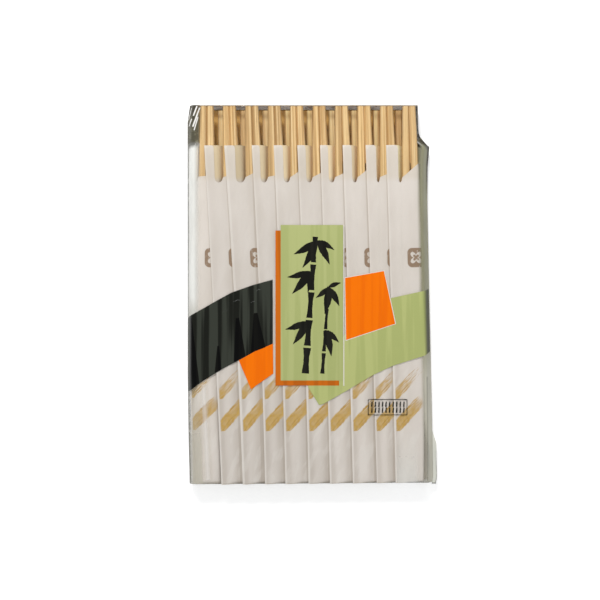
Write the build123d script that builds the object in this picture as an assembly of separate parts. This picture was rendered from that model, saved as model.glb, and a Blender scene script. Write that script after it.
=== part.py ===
from build123d import *
import os
from math import cos, radians, sin, tan

# Retail pack of disposable wooden chopsticks, lying flat.
# X runs across the pack, Y towards the bare heads, Z up; the origin is under the middle of the pack.

# Joined pair of sticks, thick in the middle and tapered to both ends
pair_length = 210.0
pair_mid_width = 11.0
pair_end_width = 7.2
pair_mid_thickness = 4.6
pair_end_thickness = 3.6
stick_edge_chamfer = 0.6
groove_width = 1.5
groove_depth = 0.75
slit_width = 0.5
joined_head_length = 32.0

# Two rows of pairs: heads evenly spaced, each foot leaning a little to the right
pairs_per_row = 10
head_pitch = 12.6
first_head_x = -58.7
front_head_y = 105.6
back_shift_x = -3.3
back_shift_y = -1.0
first_lean_angle = 0.0
second_lean_angle = 2.05
lean_angle_step = 0.106

# Half-open paper sleeve: a flat tube wrapped round one pair, its spare width in two side flaps
paper = 0.12
sleeve_flat_width = 30.0
sleeve_length = 189.0
bare_head_length = 21.8
notch_depth = 20.0
notch_rise = 7.7
notch_slot_width = 3.4
notch_slot_depth = 2.3
notch_corner_radius = 1.6
tongue_edge = 8.3
first_tongue_edge = 7.2
left_flaps = (4.8, 7.6, 9.3, 6.5, 7.0, 6.1, 6.5, 6.7, 5.6, 8.1)
front_first_flap_angle = 48.0
back_first_flap_angle = 76.0
front_last_flap_angle = 56.0
wall_step = 0.8

# Clear film bag folded tight round the two rows, seen in plan as a slightly skewed box
film = 0.15
bag_length = 215.2
bag_left = -70.8
bag_right_head = 67.0
bag_right_foot = 69.6
head_left_cut = (1.8, 9.5)
head_right_cut = (4.8, 23.0)
foot_right_cut = (0.6, 4.0)
foot_left_cut = 0.5
ear_length = 30.0
crease_height = 4.6
base_inset = 1.1
top_left_inset = 3.2
top_right_inset = 4.1
top_head_corner_inset = 2.4
top_end_inset = 1.3
top_edge_radius = 1.2
closing_flap_length = 34.0
back_seam_width = 12.0

# Air between neighbouring layers
clearance = 0.08

inner_half = pair_mid_width / 2 + clearance
outer_half = inner_half + paper
flap_thickness = 2 * paper + clearance
panel_height = flap_thickness + clearance
pair_rise = panel_height + paper + clearance
pair_top = pair_rise + pair_mid_thickness
front_panel_top = pair_top + clearance + paper
row_height = front_panel_top + clearance + flap_thickness
closest_pitch = head_pitch - pair_length * sin(radians(lean_angle_step))
back_base = 2 * film + clearance
front_base = back_base + row_height + clearance
bag_height = front_base + row_height + clearance + film


def pair_section(width, thickness):
    """Two chamfered sticks side by side, with a V groove between them above and below."""
    half_w = width / 2
    half_t = thickness / 2
    half_g = groove_width / 2
    right = [
        (0, half_t - groove_depth),
        (half_g, half_t),
        (half_w - stick_edge_chamfer, half_t),
        (half_w, half_t - stick_edge_chamfer),
        (half_w, stick_edge_chamfer - half_t),
        (half_w - stick_edge_chamfer, -half_t),
        (half_g, -half_t),
        (0, groove_depth - half_t),
    ]
    left = [(-x, z) for x, z in reversed(right[1:-1])]
    return make_face(Polyline(right + left, close=True))


def make_pair():
    """One pair with its head end at Y = 0 and its foot towards -Y, slit up to the joined head."""
    middle_height = pair_rise + pair_mid_thickness / 2
    stations = [
        (0, pair_end_width, pair_end_thickness),
        (pair_length / 2, pair_mid_width, pair_mid_thickness),
        (pair_length, pair_end_width, pair_end_thickness),
    ]
    sections = []
    for distance, width, thickness in stations:
        plane = Plane(origin=(0, -distance, middle_height), x_dir=(1, 0, 0), z_dir=(0, -1, 0))
        sections.append(plane * pair_section(width, thickness))
    slit_length = pair_length - joined_head_length
    slit = Box(slit_width, 2 * slit_length, 2 * pair_mid_thickness)
    return loft(sections) - Pos(0, -pair_length, middle_height) * slit


def left_side(flap, angle):
    """Points of the sleeve outline left of the pair, from the front panel down to the back panel.

    A flap at no angle lies over the neighbour on the left; at an angle it hangs beside the pair.
    """
    if angle:
        across = cos(radians(angle))
        down = sin(radians(angle))
        tip_x = -outer_half - flap * across
        tip_z = front_panel_top - flap * down
        return [
            (-outer_half, front_panel_top),
            (tip_x, tip_z),
            (tip_x + flap_thickness * down, tip_z - flap_thickness * across),
            (-outer_half, front_panel_top - flap_thickness / across),
        ]
    root = outer_half + 2 * clearance - closest_pitch
    return [
        (-inner_half, front_panel_top),
        (root, row_height),
        (-outer_half - flap, row_height),
        (-outer_half - flap, row_height - flap_thickness),
        (root, row_height - flap_thickness),
    ]


def right_side(flap, angle):
    """Points of the sleeve outline right of the pair, from the back panel up to the front panel."""
    across = cos(radians(angle))
    down = sin(radians(angle))
    tip_x = outer_half + flap * across
    tip_z = -flap * down
    elbow = [(outer_half, 0)] if angle else []
    return elbow + [
        (tip_x, tip_z),
        (tip_x + flap_thickness * down, tip_z + flap_thickness * across),
        (outer_half, flap_thickness / across),
        (outer_half, front_panel_top),
    ]


def sleeve_front(tongue, left_angle, right_flap, right_angle):
    """Section that holds the front panel right of the tongue and leaves the back panel out."""
    gap_height = flap_thickness / 2
    if left_angle:
        root = (-outer_half, front_panel_top - gap_height / cos(radians(left_angle)))
        fall = (tongue - outer_half) * tan(radians(left_angle))
    else:
        root = (outer_half + 3 * clearance + paper - closest_pitch, row_height - gap_height)
        fall = 0
    reach = right_flap + wall_step
    end = outer_half + reach * cos(radians(right_angle))
    return make_face(
        Polyline(
            (-tongue, root[1] - fall),
            root,
            (inner_half, gap_height),
            (outer_half, gap_height),
            (end, gap_height - reach * sin(radians(right_angle))),
            (end, row_height + paper),
            (-tongue, row_height + paper),
            close=True,
        )
    )


def mouth_cut(tongue, right_end):
    """Plan of the notch in the front panel: a round-ended slot beside the tongue, rising to the right."""
    depth = -bare_head_length - notch_depth
    slot_end = notch_slot_width - tongue
    plan = make_face(
        Polyline(
            (-tongue, 0),
            (-tongue, depth),
            (slot_end, depth),
            (slot_end, depth + notch_slot_depth),
            (outer_half, depth + notch_rise),
            (right_end, depth + notch_rise),
            (right_end, 0),
            close=True,
        )
    )
    slot_corners = plan.vertices().group_by(Axis.Y)[0]
    return fillet(slot_corners, notch_corner_radius)


def make_sleeve(left_flap, left_angle=0.0, right_angle=0.0):
    """One sleeve in the frame of its pair, closed at the foot and open at the notched mouth."""
    side = pair_top - paper
    right_flap = sleeve_flat_width - left_flap - 2 * outer_half - side
    under = [
        (-outer_half, panel_height),
        (outer_half - 2 * wall_step, panel_height),
        (outer_half - wall_step, 0),
    ]
    points = left_side(left_flap, left_angle) + under + right_side(right_flap, right_angle)
    outline = make_face(Polyline(points, close=True))
    hollow = offset(outline, amount=-paper, kind=Kind.INTERSECTION)
    upright = Plane(origin=(0, -bare_head_length, 0), x_dir=(1, 0, 0), z_dir=(0, -1, 0))
    tube = extrude(upright * outline, sleeve_length) - extrude(upright * hollow, sleeve_length - paper)
    flap_end = outer_half + left_flap * cos(radians(left_angle)) - flap_thickness
    tongue = min(first_tongue_edge, flap_end) if left_angle else tongue_edge
    section = sleeve_front(tongue, left_angle, right_flap, right_angle)
    front = extrude(upright * section, 2 * notch_depth)
    notch = extrude(mouth_cut(tongue, outer_half + right_flap + 1), 4 * row_height, both=True)
    return tube - (front & notch)


def bag_plan(height, left_inset, right_inset, corner_inset, end_inset):
    """Plan of the bag at one height, with its two head corners cut off."""
    left = bag_left + left_inset
    right_head = bag_right_head - right_inset
    right_foot = bag_right_foot - right_inset
    end = bag_length / 2 - end_inset
    points = [
        (left + head_left_cut[0], end),
        (bag_right_head - head_right_cut[0] - corner_inset, end),
        (right_head, bag_length / 2 - head_right_cut[1]),
        (right_foot, foot_right_cut[1] - bag_length / 2),
        (right_foot - foot_right_cut[0], -end),
        (left + foot_left_cut, -end),
        (left, bag_length / 2 - head_left_cut[1]),
    ]
    return Pos(0, 0, height) * make_face(Polyline(points, close=True))


def bag_block(wall):
    """Solid bounded by the bag's skin, taken in by the wall given."""
    top_height = bag_height - wall
    levels = [
        bag_plan(wall, base_inset + wall, base_inset + wall, base_inset + wall, base_inset + wall),
        bag_plan(crease_height, wall, wall, wall, wall),
        bag_plan(
            top_height,
            top_left_inset + wall,
            top_right_inset + wall,
            top_head_corner_inset + wall,
            top_end_inset + wall,
        ),
    ]
    block = loft(levels, ruled=True)
    rim = block.faces().sort_by(Axis.Z)[-1].edges()
    return fillet(rim, top_edge_radius - wall)


def make_bag():
    """The film bag: a closed skin with a doubled closing flap and back seam, and one film ear."""
    foot = -bag_length / 2
    ear_plan = make_face(
        Polyline(
            (bag_right_foot - base_inset, foot),
            (-bag_left, foot),
            (bag_right_foot, foot + ear_length),
            (bag_right_foot - base_inset, foot + ear_length),
            close=True,
        )
    )
    ear = extrude(Pos(0, 0, crease_height) * ear_plan, film, both=True)
    flap = Pos(0, bag_length / 2, film) * Box(3 * bag_length, 2 * closing_flap_length, 2 * film)
    seam = Pos(0, 0, film) * Box(back_seam_width, bag_length, 2 * film)
    hollow = bag_block(film) - flap - seam
    return bag_block(0) + ear - hollow


def place(row_x, row_y, base, lean, column):
    """Position of a pair or sleeve, turned about the middle of its head."""
    return Pos(first_head_x + row_x + column * head_pitch, row_y, base) * Rot(0, 0, lean)


def save(solid, name):
    """Write one piece as its own file."""
    export_step(solid, f"parts/{name}.step")


os.makedirs("parts", exist_ok=True)

rows = (
    ("front", 0.0, front_head_y, front_base, front_first_flap_angle, front_last_flap_angle),
    ("back", back_shift_x, front_head_y + back_shift_y, back_base, back_first_flap_angle, 0.0),
)
pair = make_pair()
for row, row_x, row_y, base, first_angle, last_angle in rows:
    for column, left_flap in enumerate(left_flaps[:pairs_per_row]):
        lean = second_lean_angle - (column - 1) * lean_angle_step if column else first_lean_angle
        spot = place(row_x, row_y, base, lean, column)
        left_angle = 0.0 if column else first_angle
        right_angle = last_angle if column == pairs_per_row - 1 else 0.0
        save(spot * pair, f"{row}_pair_{column + 1:02d}")
        save(spot * make_sleeve(left_flap, left_angle, right_angle), f"{row}_sleeve_{column + 1:02d}")
save(make_bag(), "film_bag")
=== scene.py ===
"""Looks of a flat retail pack of disposable wooden chopsticks in paper sleeves and a printed film bag."""

import logging
from dataclasses import dataclass, field
from enum import Enum
from math import cos, dist, pi, radians, sin
from typing import Sequence

import bpy
import numpy as np
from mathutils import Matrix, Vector


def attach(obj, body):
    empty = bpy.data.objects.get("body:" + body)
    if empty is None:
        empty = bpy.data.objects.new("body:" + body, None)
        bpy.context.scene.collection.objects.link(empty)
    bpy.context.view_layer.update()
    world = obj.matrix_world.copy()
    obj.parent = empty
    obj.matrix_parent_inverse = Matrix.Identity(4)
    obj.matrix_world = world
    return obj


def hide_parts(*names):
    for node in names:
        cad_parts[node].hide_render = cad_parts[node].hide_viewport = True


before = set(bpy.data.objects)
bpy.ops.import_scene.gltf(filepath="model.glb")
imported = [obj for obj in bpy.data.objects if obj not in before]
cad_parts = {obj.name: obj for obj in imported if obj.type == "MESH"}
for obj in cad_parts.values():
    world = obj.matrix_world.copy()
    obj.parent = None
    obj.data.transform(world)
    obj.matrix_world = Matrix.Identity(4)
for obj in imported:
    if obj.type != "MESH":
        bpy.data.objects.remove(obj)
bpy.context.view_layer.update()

MM = 0.001
FILM_SMOOTH_ANGLE = 50
PAPER_SMOOTH_ANGLE = 60
log = logging.getLogger("pack")

Colour = tuple[float, float, float]
Point = tuple[float, float]
Line = tuple[Point, ...]
Piece = bpy.types.Object
Socket = bpy.types.NodeSocket
Material = bpy.types.Material
Outline = list[tuple[np.ndarray, np.ndarray]]


def tinted(colour: Colour, tone: float, warm: float = 0.0) -> Colour:
    """A colour made lighter by tone and redder by warm."""
    return tuple(min(1.0, part * tone * (1 + warm * k)) for part, k in zip(colour, (1, 0, -2)))


def held(value: np.ndarray) -> np.ndarray:
    """A value held between 0 and 1."""
    return np.clip(value, 0, 1)


class Row(Enum):
    """The two layers of chopsticks in the pack."""

    FRONT = "front"
    BACK = "back"


class Slot(Enum):
    """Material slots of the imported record."""

    WOOD = "wood"
    PAPER = "paper"
    FILM = "film"


class Workbench:
    """Modelling steps that every sub-assembly shares."""

    @staticmethod
    def clear_selection() -> None:
        """Deselect everything, so that an operator acts on the new piece alone."""
        bpy.ops.object.select_all(action="DESELECT")

    @staticmethod
    def pick(*pieces: Piece) -> None:
        """Select these pieces alone, the first of them active.

        Args:
            pieces: The pieces that the next operator acts on.
        """
        Workbench.clear_selection()
        for piece in pieces:
            piece.select_set(True)
        bpy.context.view_layer.objects.active = pieces[0]

    @staticmethod
    def sheet(name: str, points: np.ndarray) -> Piece:
        """Add a grid and shape it.

        Args:
            name: Name of the new piece.
            points: Places of its vertices in millimetres, row by row.

        Returns:
            The new sheet, one vertex thick.
        """
        rows, columns = points.shape[0] - 1, points.shape[1] - 1
        Workbench.clear_selection()
        bpy.ops.mesh.primitive_grid_add(x_subdivisions=columns, y_subdivisions=rows, size=1.0)
        piece = bpy.context.object
        piece.name = piece.data.name = name
        Workbench.place(piece, points)
        return piece

    @staticmethod
    def place(piece: Piece, points: np.ndarray) -> None:
        """Move a mesh's vertices to the points given, in millimetres."""
        piece.data.vertices.foreach_set("co", (points * MM).reshape(-1).astype(np.float32))
        piece.data.update()

    @staticmethod
    def points(piece: Piece) -> np.ndarray:
        """Read where a mesh's vertices are.

        Args:
            piece: The mesh to read.

        Returns:
            One row of X, Y and Z in millimetres for each vertex.
        """
        values = np.empty(len(piece.data.vertices) * 3, dtype=np.float32)
        piece.data.vertices.foreach_get("co", values)
        return values.reshape(-1, 3) / MM

    @staticmethod
    def store(piece: Piece, **layers: np.ndarray) -> None:
        """Keep values at the vertices, for the piece's material to read.

        Args:
            piece: The mesh that keeps them.
            layers: One value a vertex, under each layer's name.
        """
        for name, values in layers.items():
            layer = piece.data.attributes.new(name, "FLOAT", "POINT")
            layer.data.foreach_set("value", values.reshape(-1).astype(np.float32))

    @staticmethod
    def apply(piece: Piece, kind: str, **settings: object) -> None:
        """Add one modifier and apply it.

        Args:
            piece: The mesh to change.
            kind: Type of the modifier.
            settings: Its properties.
        """
        Workbench.pick(piece)
        modifier = piece.modifiers.new(kind.lower(), kind)
        for key, value in settings.items():
            setattr(modifier, key, value)
        bpy.ops.object.modifier_apply(modifier=modifier.name)

    @staticmethod
    def delete_faces(piece: Piece, chosen: np.ndarray) -> None:
        """Delete some faces of a mesh.

        Args:
            piece: The mesh to edit.
            chosen: One truth value per face.
        """
        Workbench.pick(piece)
        bpy.ops.object.mode_set(mode="EDIT")
        bpy.ops.mesh.select_mode(type="FACE")
        bpy.ops.mesh.select_all(action="DESELECT")
        bpy.ops.object.mode_set(mode="OBJECT")
        piece.data.polygons.foreach_set("select", chosen.astype(bool))
        bpy.ops.object.mode_set(mode="EDIT")
        bpy.ops.mesh.delete(type="FACE")
        bpy.ops.object.mode_set(mode="OBJECT")

    @staticmethod
    def weld(piece: Piece, distance: float) -> None:
        """Merge vertices that coincide and turn all faces outwards.

        Args:
            piece: The mesh to close.
            distance: How near each other vertices are merged, in millimetres.
        """
        Workbench.pick(piece)
        bpy.ops.object.mode_set(mode="EDIT")
        bpy.ops.mesh.select_mode(type="VERT")
        bpy.ops.mesh.select_all(action="SELECT")
        bpy.ops.mesh.remove_doubles(threshold=distance * MM)
        bpy.ops.mesh.normals_make_consistent(inside=False)
        bpy.ops.object.mode_set(mode="OBJECT")

    @staticmethod
    def join(pieces: Sequence[Piece]) -> Piece:
        """Join pieces into the first of them.

        Args:
            pieces: The pieces to join.

        Returns:
            The joined piece.
        """
        Workbench.pick(*pieces)
        bpy.ops.object.join()
        return pieces[0]

    @staticmethod
    def smooth(piece: Piece, angle: float) -> None:
        """Shade a piece smooth up to an angle in degrees."""
        Workbench.pick(piece)
        bpy.ops.object.shade_smooth_by_angle(angle=radians(angle))

    @staticmethod
    def dress(piece: Piece, material: Material) -> None:
        """Give a piece one material."""
        piece.data.materials.clear()
        piece.data.materials.append(material)

    @staticmethod
    def hang_film(piece: Piece, material: Material) -> None:
        """Dress a piece of film or ink and hang it on the pack.

        Args:
            piece: The modelled piece.
            material: Its finish.
        """
        Workbench.smooth(piece, FILM_SMOOTH_ANGLE)
        Workbench.dress(piece, material)
        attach(piece, "root")
        Workbench.report(piece)

    @staticmethod
    def report(piece: Piece) -> None:
        """Log the name and size of a finished piece."""
        size = np.array(piece.dimensions) / MM
        log.info("%s: %d faces, %.1f x %.1f x %.1f mm", piece.name, len(piece.data.polygons), *size)


class Graph:
    """A material's node tree, built from plain calls that return sockets."""

    def __init__(self, name: str) -> None:
        """Start an empty material.

        Args:
            name: Name of the material.
        """
        self.material = bpy.data.materials.new(name)
        self.material.use_nodes = True
        self.tree = self.material.node_tree
        self.tree.nodes.clear()
        self.output = self.tree.nodes.new("ShaderNodeOutputMaterial")

    def node(self, kind: str, inputs: dict | None = None, **settings: object) -> bpy.types.Node:
        """Add a node.

        Args:
            kind: Node type.
            inputs: Socket name or number to a value or a socket.
            settings: Properties of the node.

        Returns:
            The node.
        """
        made = self.tree.nodes.new(kind)
        for key, value in settings.items():
            setattr(made, key, value)
        for key, value in (inputs or {}).items():
            self.feed(made.inputs[key], value)
        return made

    def feed(self, socket: Socket, value: object) -> None:
        """Link a socket to another one, or set its value.

        Args:
            socket: The input to feed.
            value: A socket, a number, a vector or a colour.
        """
        if isinstance(value, Socket):
            self.tree.links.new(value, socket)
        elif isinstance(value, tuple) and socket.type == "RGBA":
            socket.default_value = (*value, 1.0)[:4]
        else:
            socket.default_value = value

    def math(self, operation: str, *values: object, clamp: bool = False) -> Socket:
        """One Math node of the values given."""
        made = self.node("ShaderNodeMath", dict(enumerate(values)), operation=operation, use_clamp=clamp)
        return made.outputs[0]

    def plus(self, first: object, *others: object) -> Socket:
        """The sum of all the values.

        Args:
            first: A number or a socket.
            others: What is added to it.

        Returns:
            The sum.
        """
        for other in others:
            first = self.math("ADD", first, other)
        return first

    def times(self, first: object, *others: object) -> Socket:
        """The product of all the values.

        Args:
            first: A number or a socket.
            others: What it is multiplied by.

        Returns:
            The product.
        """
        for other in others:
            first = self.math("MULTIPLY", first, other)
        return first

    def minus(self, first: object, second: object) -> Socket:
        """The first value less the second."""
        return self.math("SUBTRACT", first, second)

    def divided(self, first: object, second: object) -> Socket:
        """The first value divided by the second."""
        return self.math("DIVIDE", first, second)

    def size(self, value: object) -> Socket:
        """The value without its sign."""
        return self.math("ABSOLUTE", value)

    def most(self, first: object, second: object) -> Socket:
        """The greater of two values."""
        return self.math("MAXIMUM", first, second)

    def hypot(self, x: object, y: object) -> Socket:
        """The length of a line with these two sides."""
        return self.math("SQRT", self.plus(self.times(x, x), self.times(y, y)))

    def step(self, value: object, low: float, high: float) -> Socket:
        """A smooth step of a value.

        Args:
            value: The value.
            low: Where the step is 0.
            high: Where it is 1, which may lie below low.

        Returns:
            The step, from 0 to 1.
        """
        inputs = {"Value": value, "From Min": low, "From Max": high}
        made = self.node("ShaderNodeMapRange", inputs, interpolation_type="SMOOTHSTEP")
        return made.outputs["Result"]

    def mix(self, amount: object, first: object, second: object) -> Socket:
        """A blend of two colours.

        Args:
            amount: Share of the second colour.
            first: The colour at 0.
            second: The colour at 1.

        Returns:
            The blended colour.
        """
        made = self.node("ShaderNodeMix", data_type="RGBA", blend_type="MIX")
        for number, value in ((0, amount), (6, first), (7, second)):
            self.feed(made.inputs[number], value)
        return made.outputs[2]

    def split(self, vector: Socket) -> tuple[Socket, ...]:
        """The three parts of a vector."""
        return tuple(self.node("ShaderNodeSeparateXYZ", {0: vector}).outputs)

    def join(self, x: object, y: object) -> Socket:
        """A flat vector of two parts."""
        return self.node("ShaderNodeCombineXYZ", {0: x, 1: y}).outputs[0]

    def place(self) -> Socket:
        """Object coordinates, in metres."""
        return self.node("ShaderNodeTexCoord").outputs["Object"]

    def flat(self) -> Socket:
        """The piece's own flat coordinates."""
        return self.node("ShaderNodeUVMap", uv_map="flat").outputs[0]

    def stored(self, name: str) -> Socket:
        """A value that the piece keeps at its vertices."""
        return self.node("ShaderNodeAttribute", attribute_name=name).outputs["Fac"]

    def vector_math(self, operation: str, first: object, second: object) -> Socket:
        """One Vector Math node of two vectors."""
        return self.node("ShaderNodeVectorMath", {0: first, 1: second}, operation=operation).outputs[0]

    def mapped(self, vector: object, scale: Sequence[float], turn: float = 0.0) -> Socket:
        """A vector turned about Z and then scaled."""
        turned = self.node("ShaderNodeMapping", {0: vector, "Rotation": (0, 0, turn)})
        return self.vector_math("MULTIPLY", turned.outputs[0], scale)

    def along_line(self, x: object, y: object, start: Point, end: Point) -> tuple[Socket, Socket, float]:
        """Measure points by a line.

        Args:
            x: X of the points.
            y: Y of the points.
            start: Start of the line.
            end: End of the line.

        Returns:
            The distance from the start along the line, the distance aside of it, and the line's length.
        """
        length = dist(start, end)
        ahead_x, ahead_y = (end[0] - start[0]) / length, (end[1] - start[1]) / length
        dx, dy = self.minus(x, start[0]), self.minus(y, start[1])
        along = self.plus(self.times(dx, ahead_x), self.times(dy, ahead_y))
        aside = self.minus(self.times(dx, ahead_y), self.times(dy, ahead_x))
        return along, aside, length

    def noise(self, vector: object, scale: float, detail: float = 2.0, rough: float = 0.5) -> Socket:
        """A noise value about 0.5."""
        inputs = {"Vector": vector, "Scale": scale, "Detail": detail, "Roughness": rough}
        return self.node("ShaderNodeTexNoise", inputs).outputs["Fac"]

    def wrinkles(self) -> Socket:
        """The fine lengthwise wrinkles of the film, as a value about 0.5."""
        return self.noise(self.mapped(self.place(), (160, 45, 160)), 1.0, 3.0, 0.6)

    def bump(self, height: object, strength: float, distance: float) -> Socket:
        """A normal bent by a height, its distance in millimetres."""
        inputs = {"Height": height, "Strength": strength, "Distance": distance * MM}
        return self.node("ShaderNodeBump", inputs).outputs[0]

    def principled(self, tone: object, rough: object, specular: float, normal: Socket) -> Socket:
        """A Principled shader of one colour, roughness, specular level and normal."""
        inputs = {"Base Color": tone, "Roughness": rough, "Specular IOR Level": specular, "Normal": normal}
        return self.node("ShaderNodeBsdfPrincipled", inputs).outputs[0]

    def transparent(self, colour: Colour = (1.0, 1.0, 1.0)) -> Socket:
        """A shader that light passes straight through."""
        return self.node("ShaderNodeBsdfTransparent", {"Color": colour}).outputs[0]

    def shiny(self, sheet: Socket, normal: Socket, gloss: float, share: object) -> Socket:
        """Film with a mirror share that grows at grazing angles.

        Args:
            sheet: Shader of the film without its shine.
            normal: Its normal.
            gloss: Roughness of the mirror.
            share: How much of a full mirror it is.

        Returns:
            The shiny film's shader.
        """
        shine = self.node("ShaderNodeBsdfGlossy", {"Roughness": gloss, "Normal": normal}).outputs[0]
        mirror = self.node("ShaderNodeFresnel", {"IOR": 1.45, "Normal": normal}).outputs[0]
        return self.blend_shaders(self.times(mirror, share), sheet, shine)

    def blend_shaders(self, amount: object, first: object, second: object) -> Socket:
        """A mix of two shaders."""
        return self.node("ShaderNodeMixShader", {0: amount, 1: first, 2: second}).outputs[0]

    def finish(self, shader: Socket) -> Material:
        """Connect the shader to the output and return the material."""
        self.tree.links.new(shader, self.output.inputs[0])
        return self.material


@dataclass(frozen=True)
class WoodFinish:
    """Pale unvarnished wood, sawn along the grain, each stick's arrises rounded over."""

    name: str
    lean: float
    head: Point
    shift: tuple[float, float, float]
    pale: Colour = (0.95, 0.68, 0.335)
    deep: Colour = (0.66, 0.425, 0.185)
    streak: Colour = (0.42, 0.235, 0.085)
    # The next colour is a painted highlight, laid along the grain stripes.
    stripe_highlight: Colour = (1.0, 0.80, 0.47)
    half_length: float = 105.0
    half_width: float = 5.5
    half_taper: float = 1.9
    worn_height: float = -0.28

    def arris(self, g: Graph, x: Socket, y: Socket) -> Socket:
        """Find how near a stick's arris a point is.

        Args:
            g: Nodes of the wood.
            x: Distance from the pair's middle, in metres.
            y: Distance from its head, in metres and below 0.

        Returns:
            0 on the middle of a stick, 1 on its arrises.
        """
        aside = g.times(g.size(x), 1 / MM)
        bow = g.divided(g.plus(y, self.half_length * MM), self.half_length * MM)
        stick = g.times(g.minus(self.half_width, g.times(bow, bow, self.half_taper)), 0.5)
        off = g.divided(g.minus(aside, stick), stick)
        return g.times(off, off)

    def material(self) -> Material:
        """Build the wood: broad bands, fine grain, short dark pores, painted highlights along the grain
        stripes and a painted shade that darkens each stick towards its arrises.

        Returns:
            The material of one pair.
        """
        g = Graph(self.name)
        moved = g.vector_math("SUBTRACT", g.place(), (self.head[0] * MM, self.head[1] * MM, 0.0))
        along = g.node("ShaderNodeMapping", {0: moved, "Rotation": (0, 0, self.lean)}).outputs[0]
        x, y, _ = g.split(along)
        grain = g.vector_math("ADD", along, self.shift)
        broad = g.noise(g.mapped(grain, (520, 4, 300)), 1.0, 2.0)
        fine = g.noise(g.mapped(grain, (2600, 26, 2600)), 1.0, 4.0, 0.6)
        pores = g.noise(g.mapped(grain, (3800, 160, 3800)), 1.0, 1.0)
        stripes = g.noise(g.mapped(grain, (1300, 5, 500)), 1.0, 3.0, 0.65)
        # Nearness to the arrises: it drives a painted shade and the rounding bump.
        worn = self.arris(g, x, y)
        # The second layer paints highlights along the stripes; the last paints shade towards each stick's
        # arrises, where their rounding turns away from the light.
        layers = (
            (stripes, 0.50, 0.62, 0.46, self.streak),
            (stripes, 0.45, 0.37, 0.70, self.stripe_highlight),
            (fine, 0.42, 0.70, 0.40, self.streak),
            (pores, 0.62, 0.74, 0.30, self.streak),
            (worn, 0.3, 1.0, 0.42, self.streak),
        )
        tone = g.mix(g.step(broad, 0.36, 0.64), self.pale, self.deep)
        for pattern, low, high, strength, colour in layers:
            tone = g.mix(g.times(g.step(pattern, low, high), strength), tone, colour)
        grain_height = g.times(g.plus(fine, g.times(pores, -0.7)), 0.02)
        normal = g.bump(g.plus(g.times(worn, self.worn_height), grain_height), 1.0, 1.0)
        rough = g.plus(0.52, g.times(fine, 0.2))
        return g.finish(g.principled(tone, rough, 0.3, normal))


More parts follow.
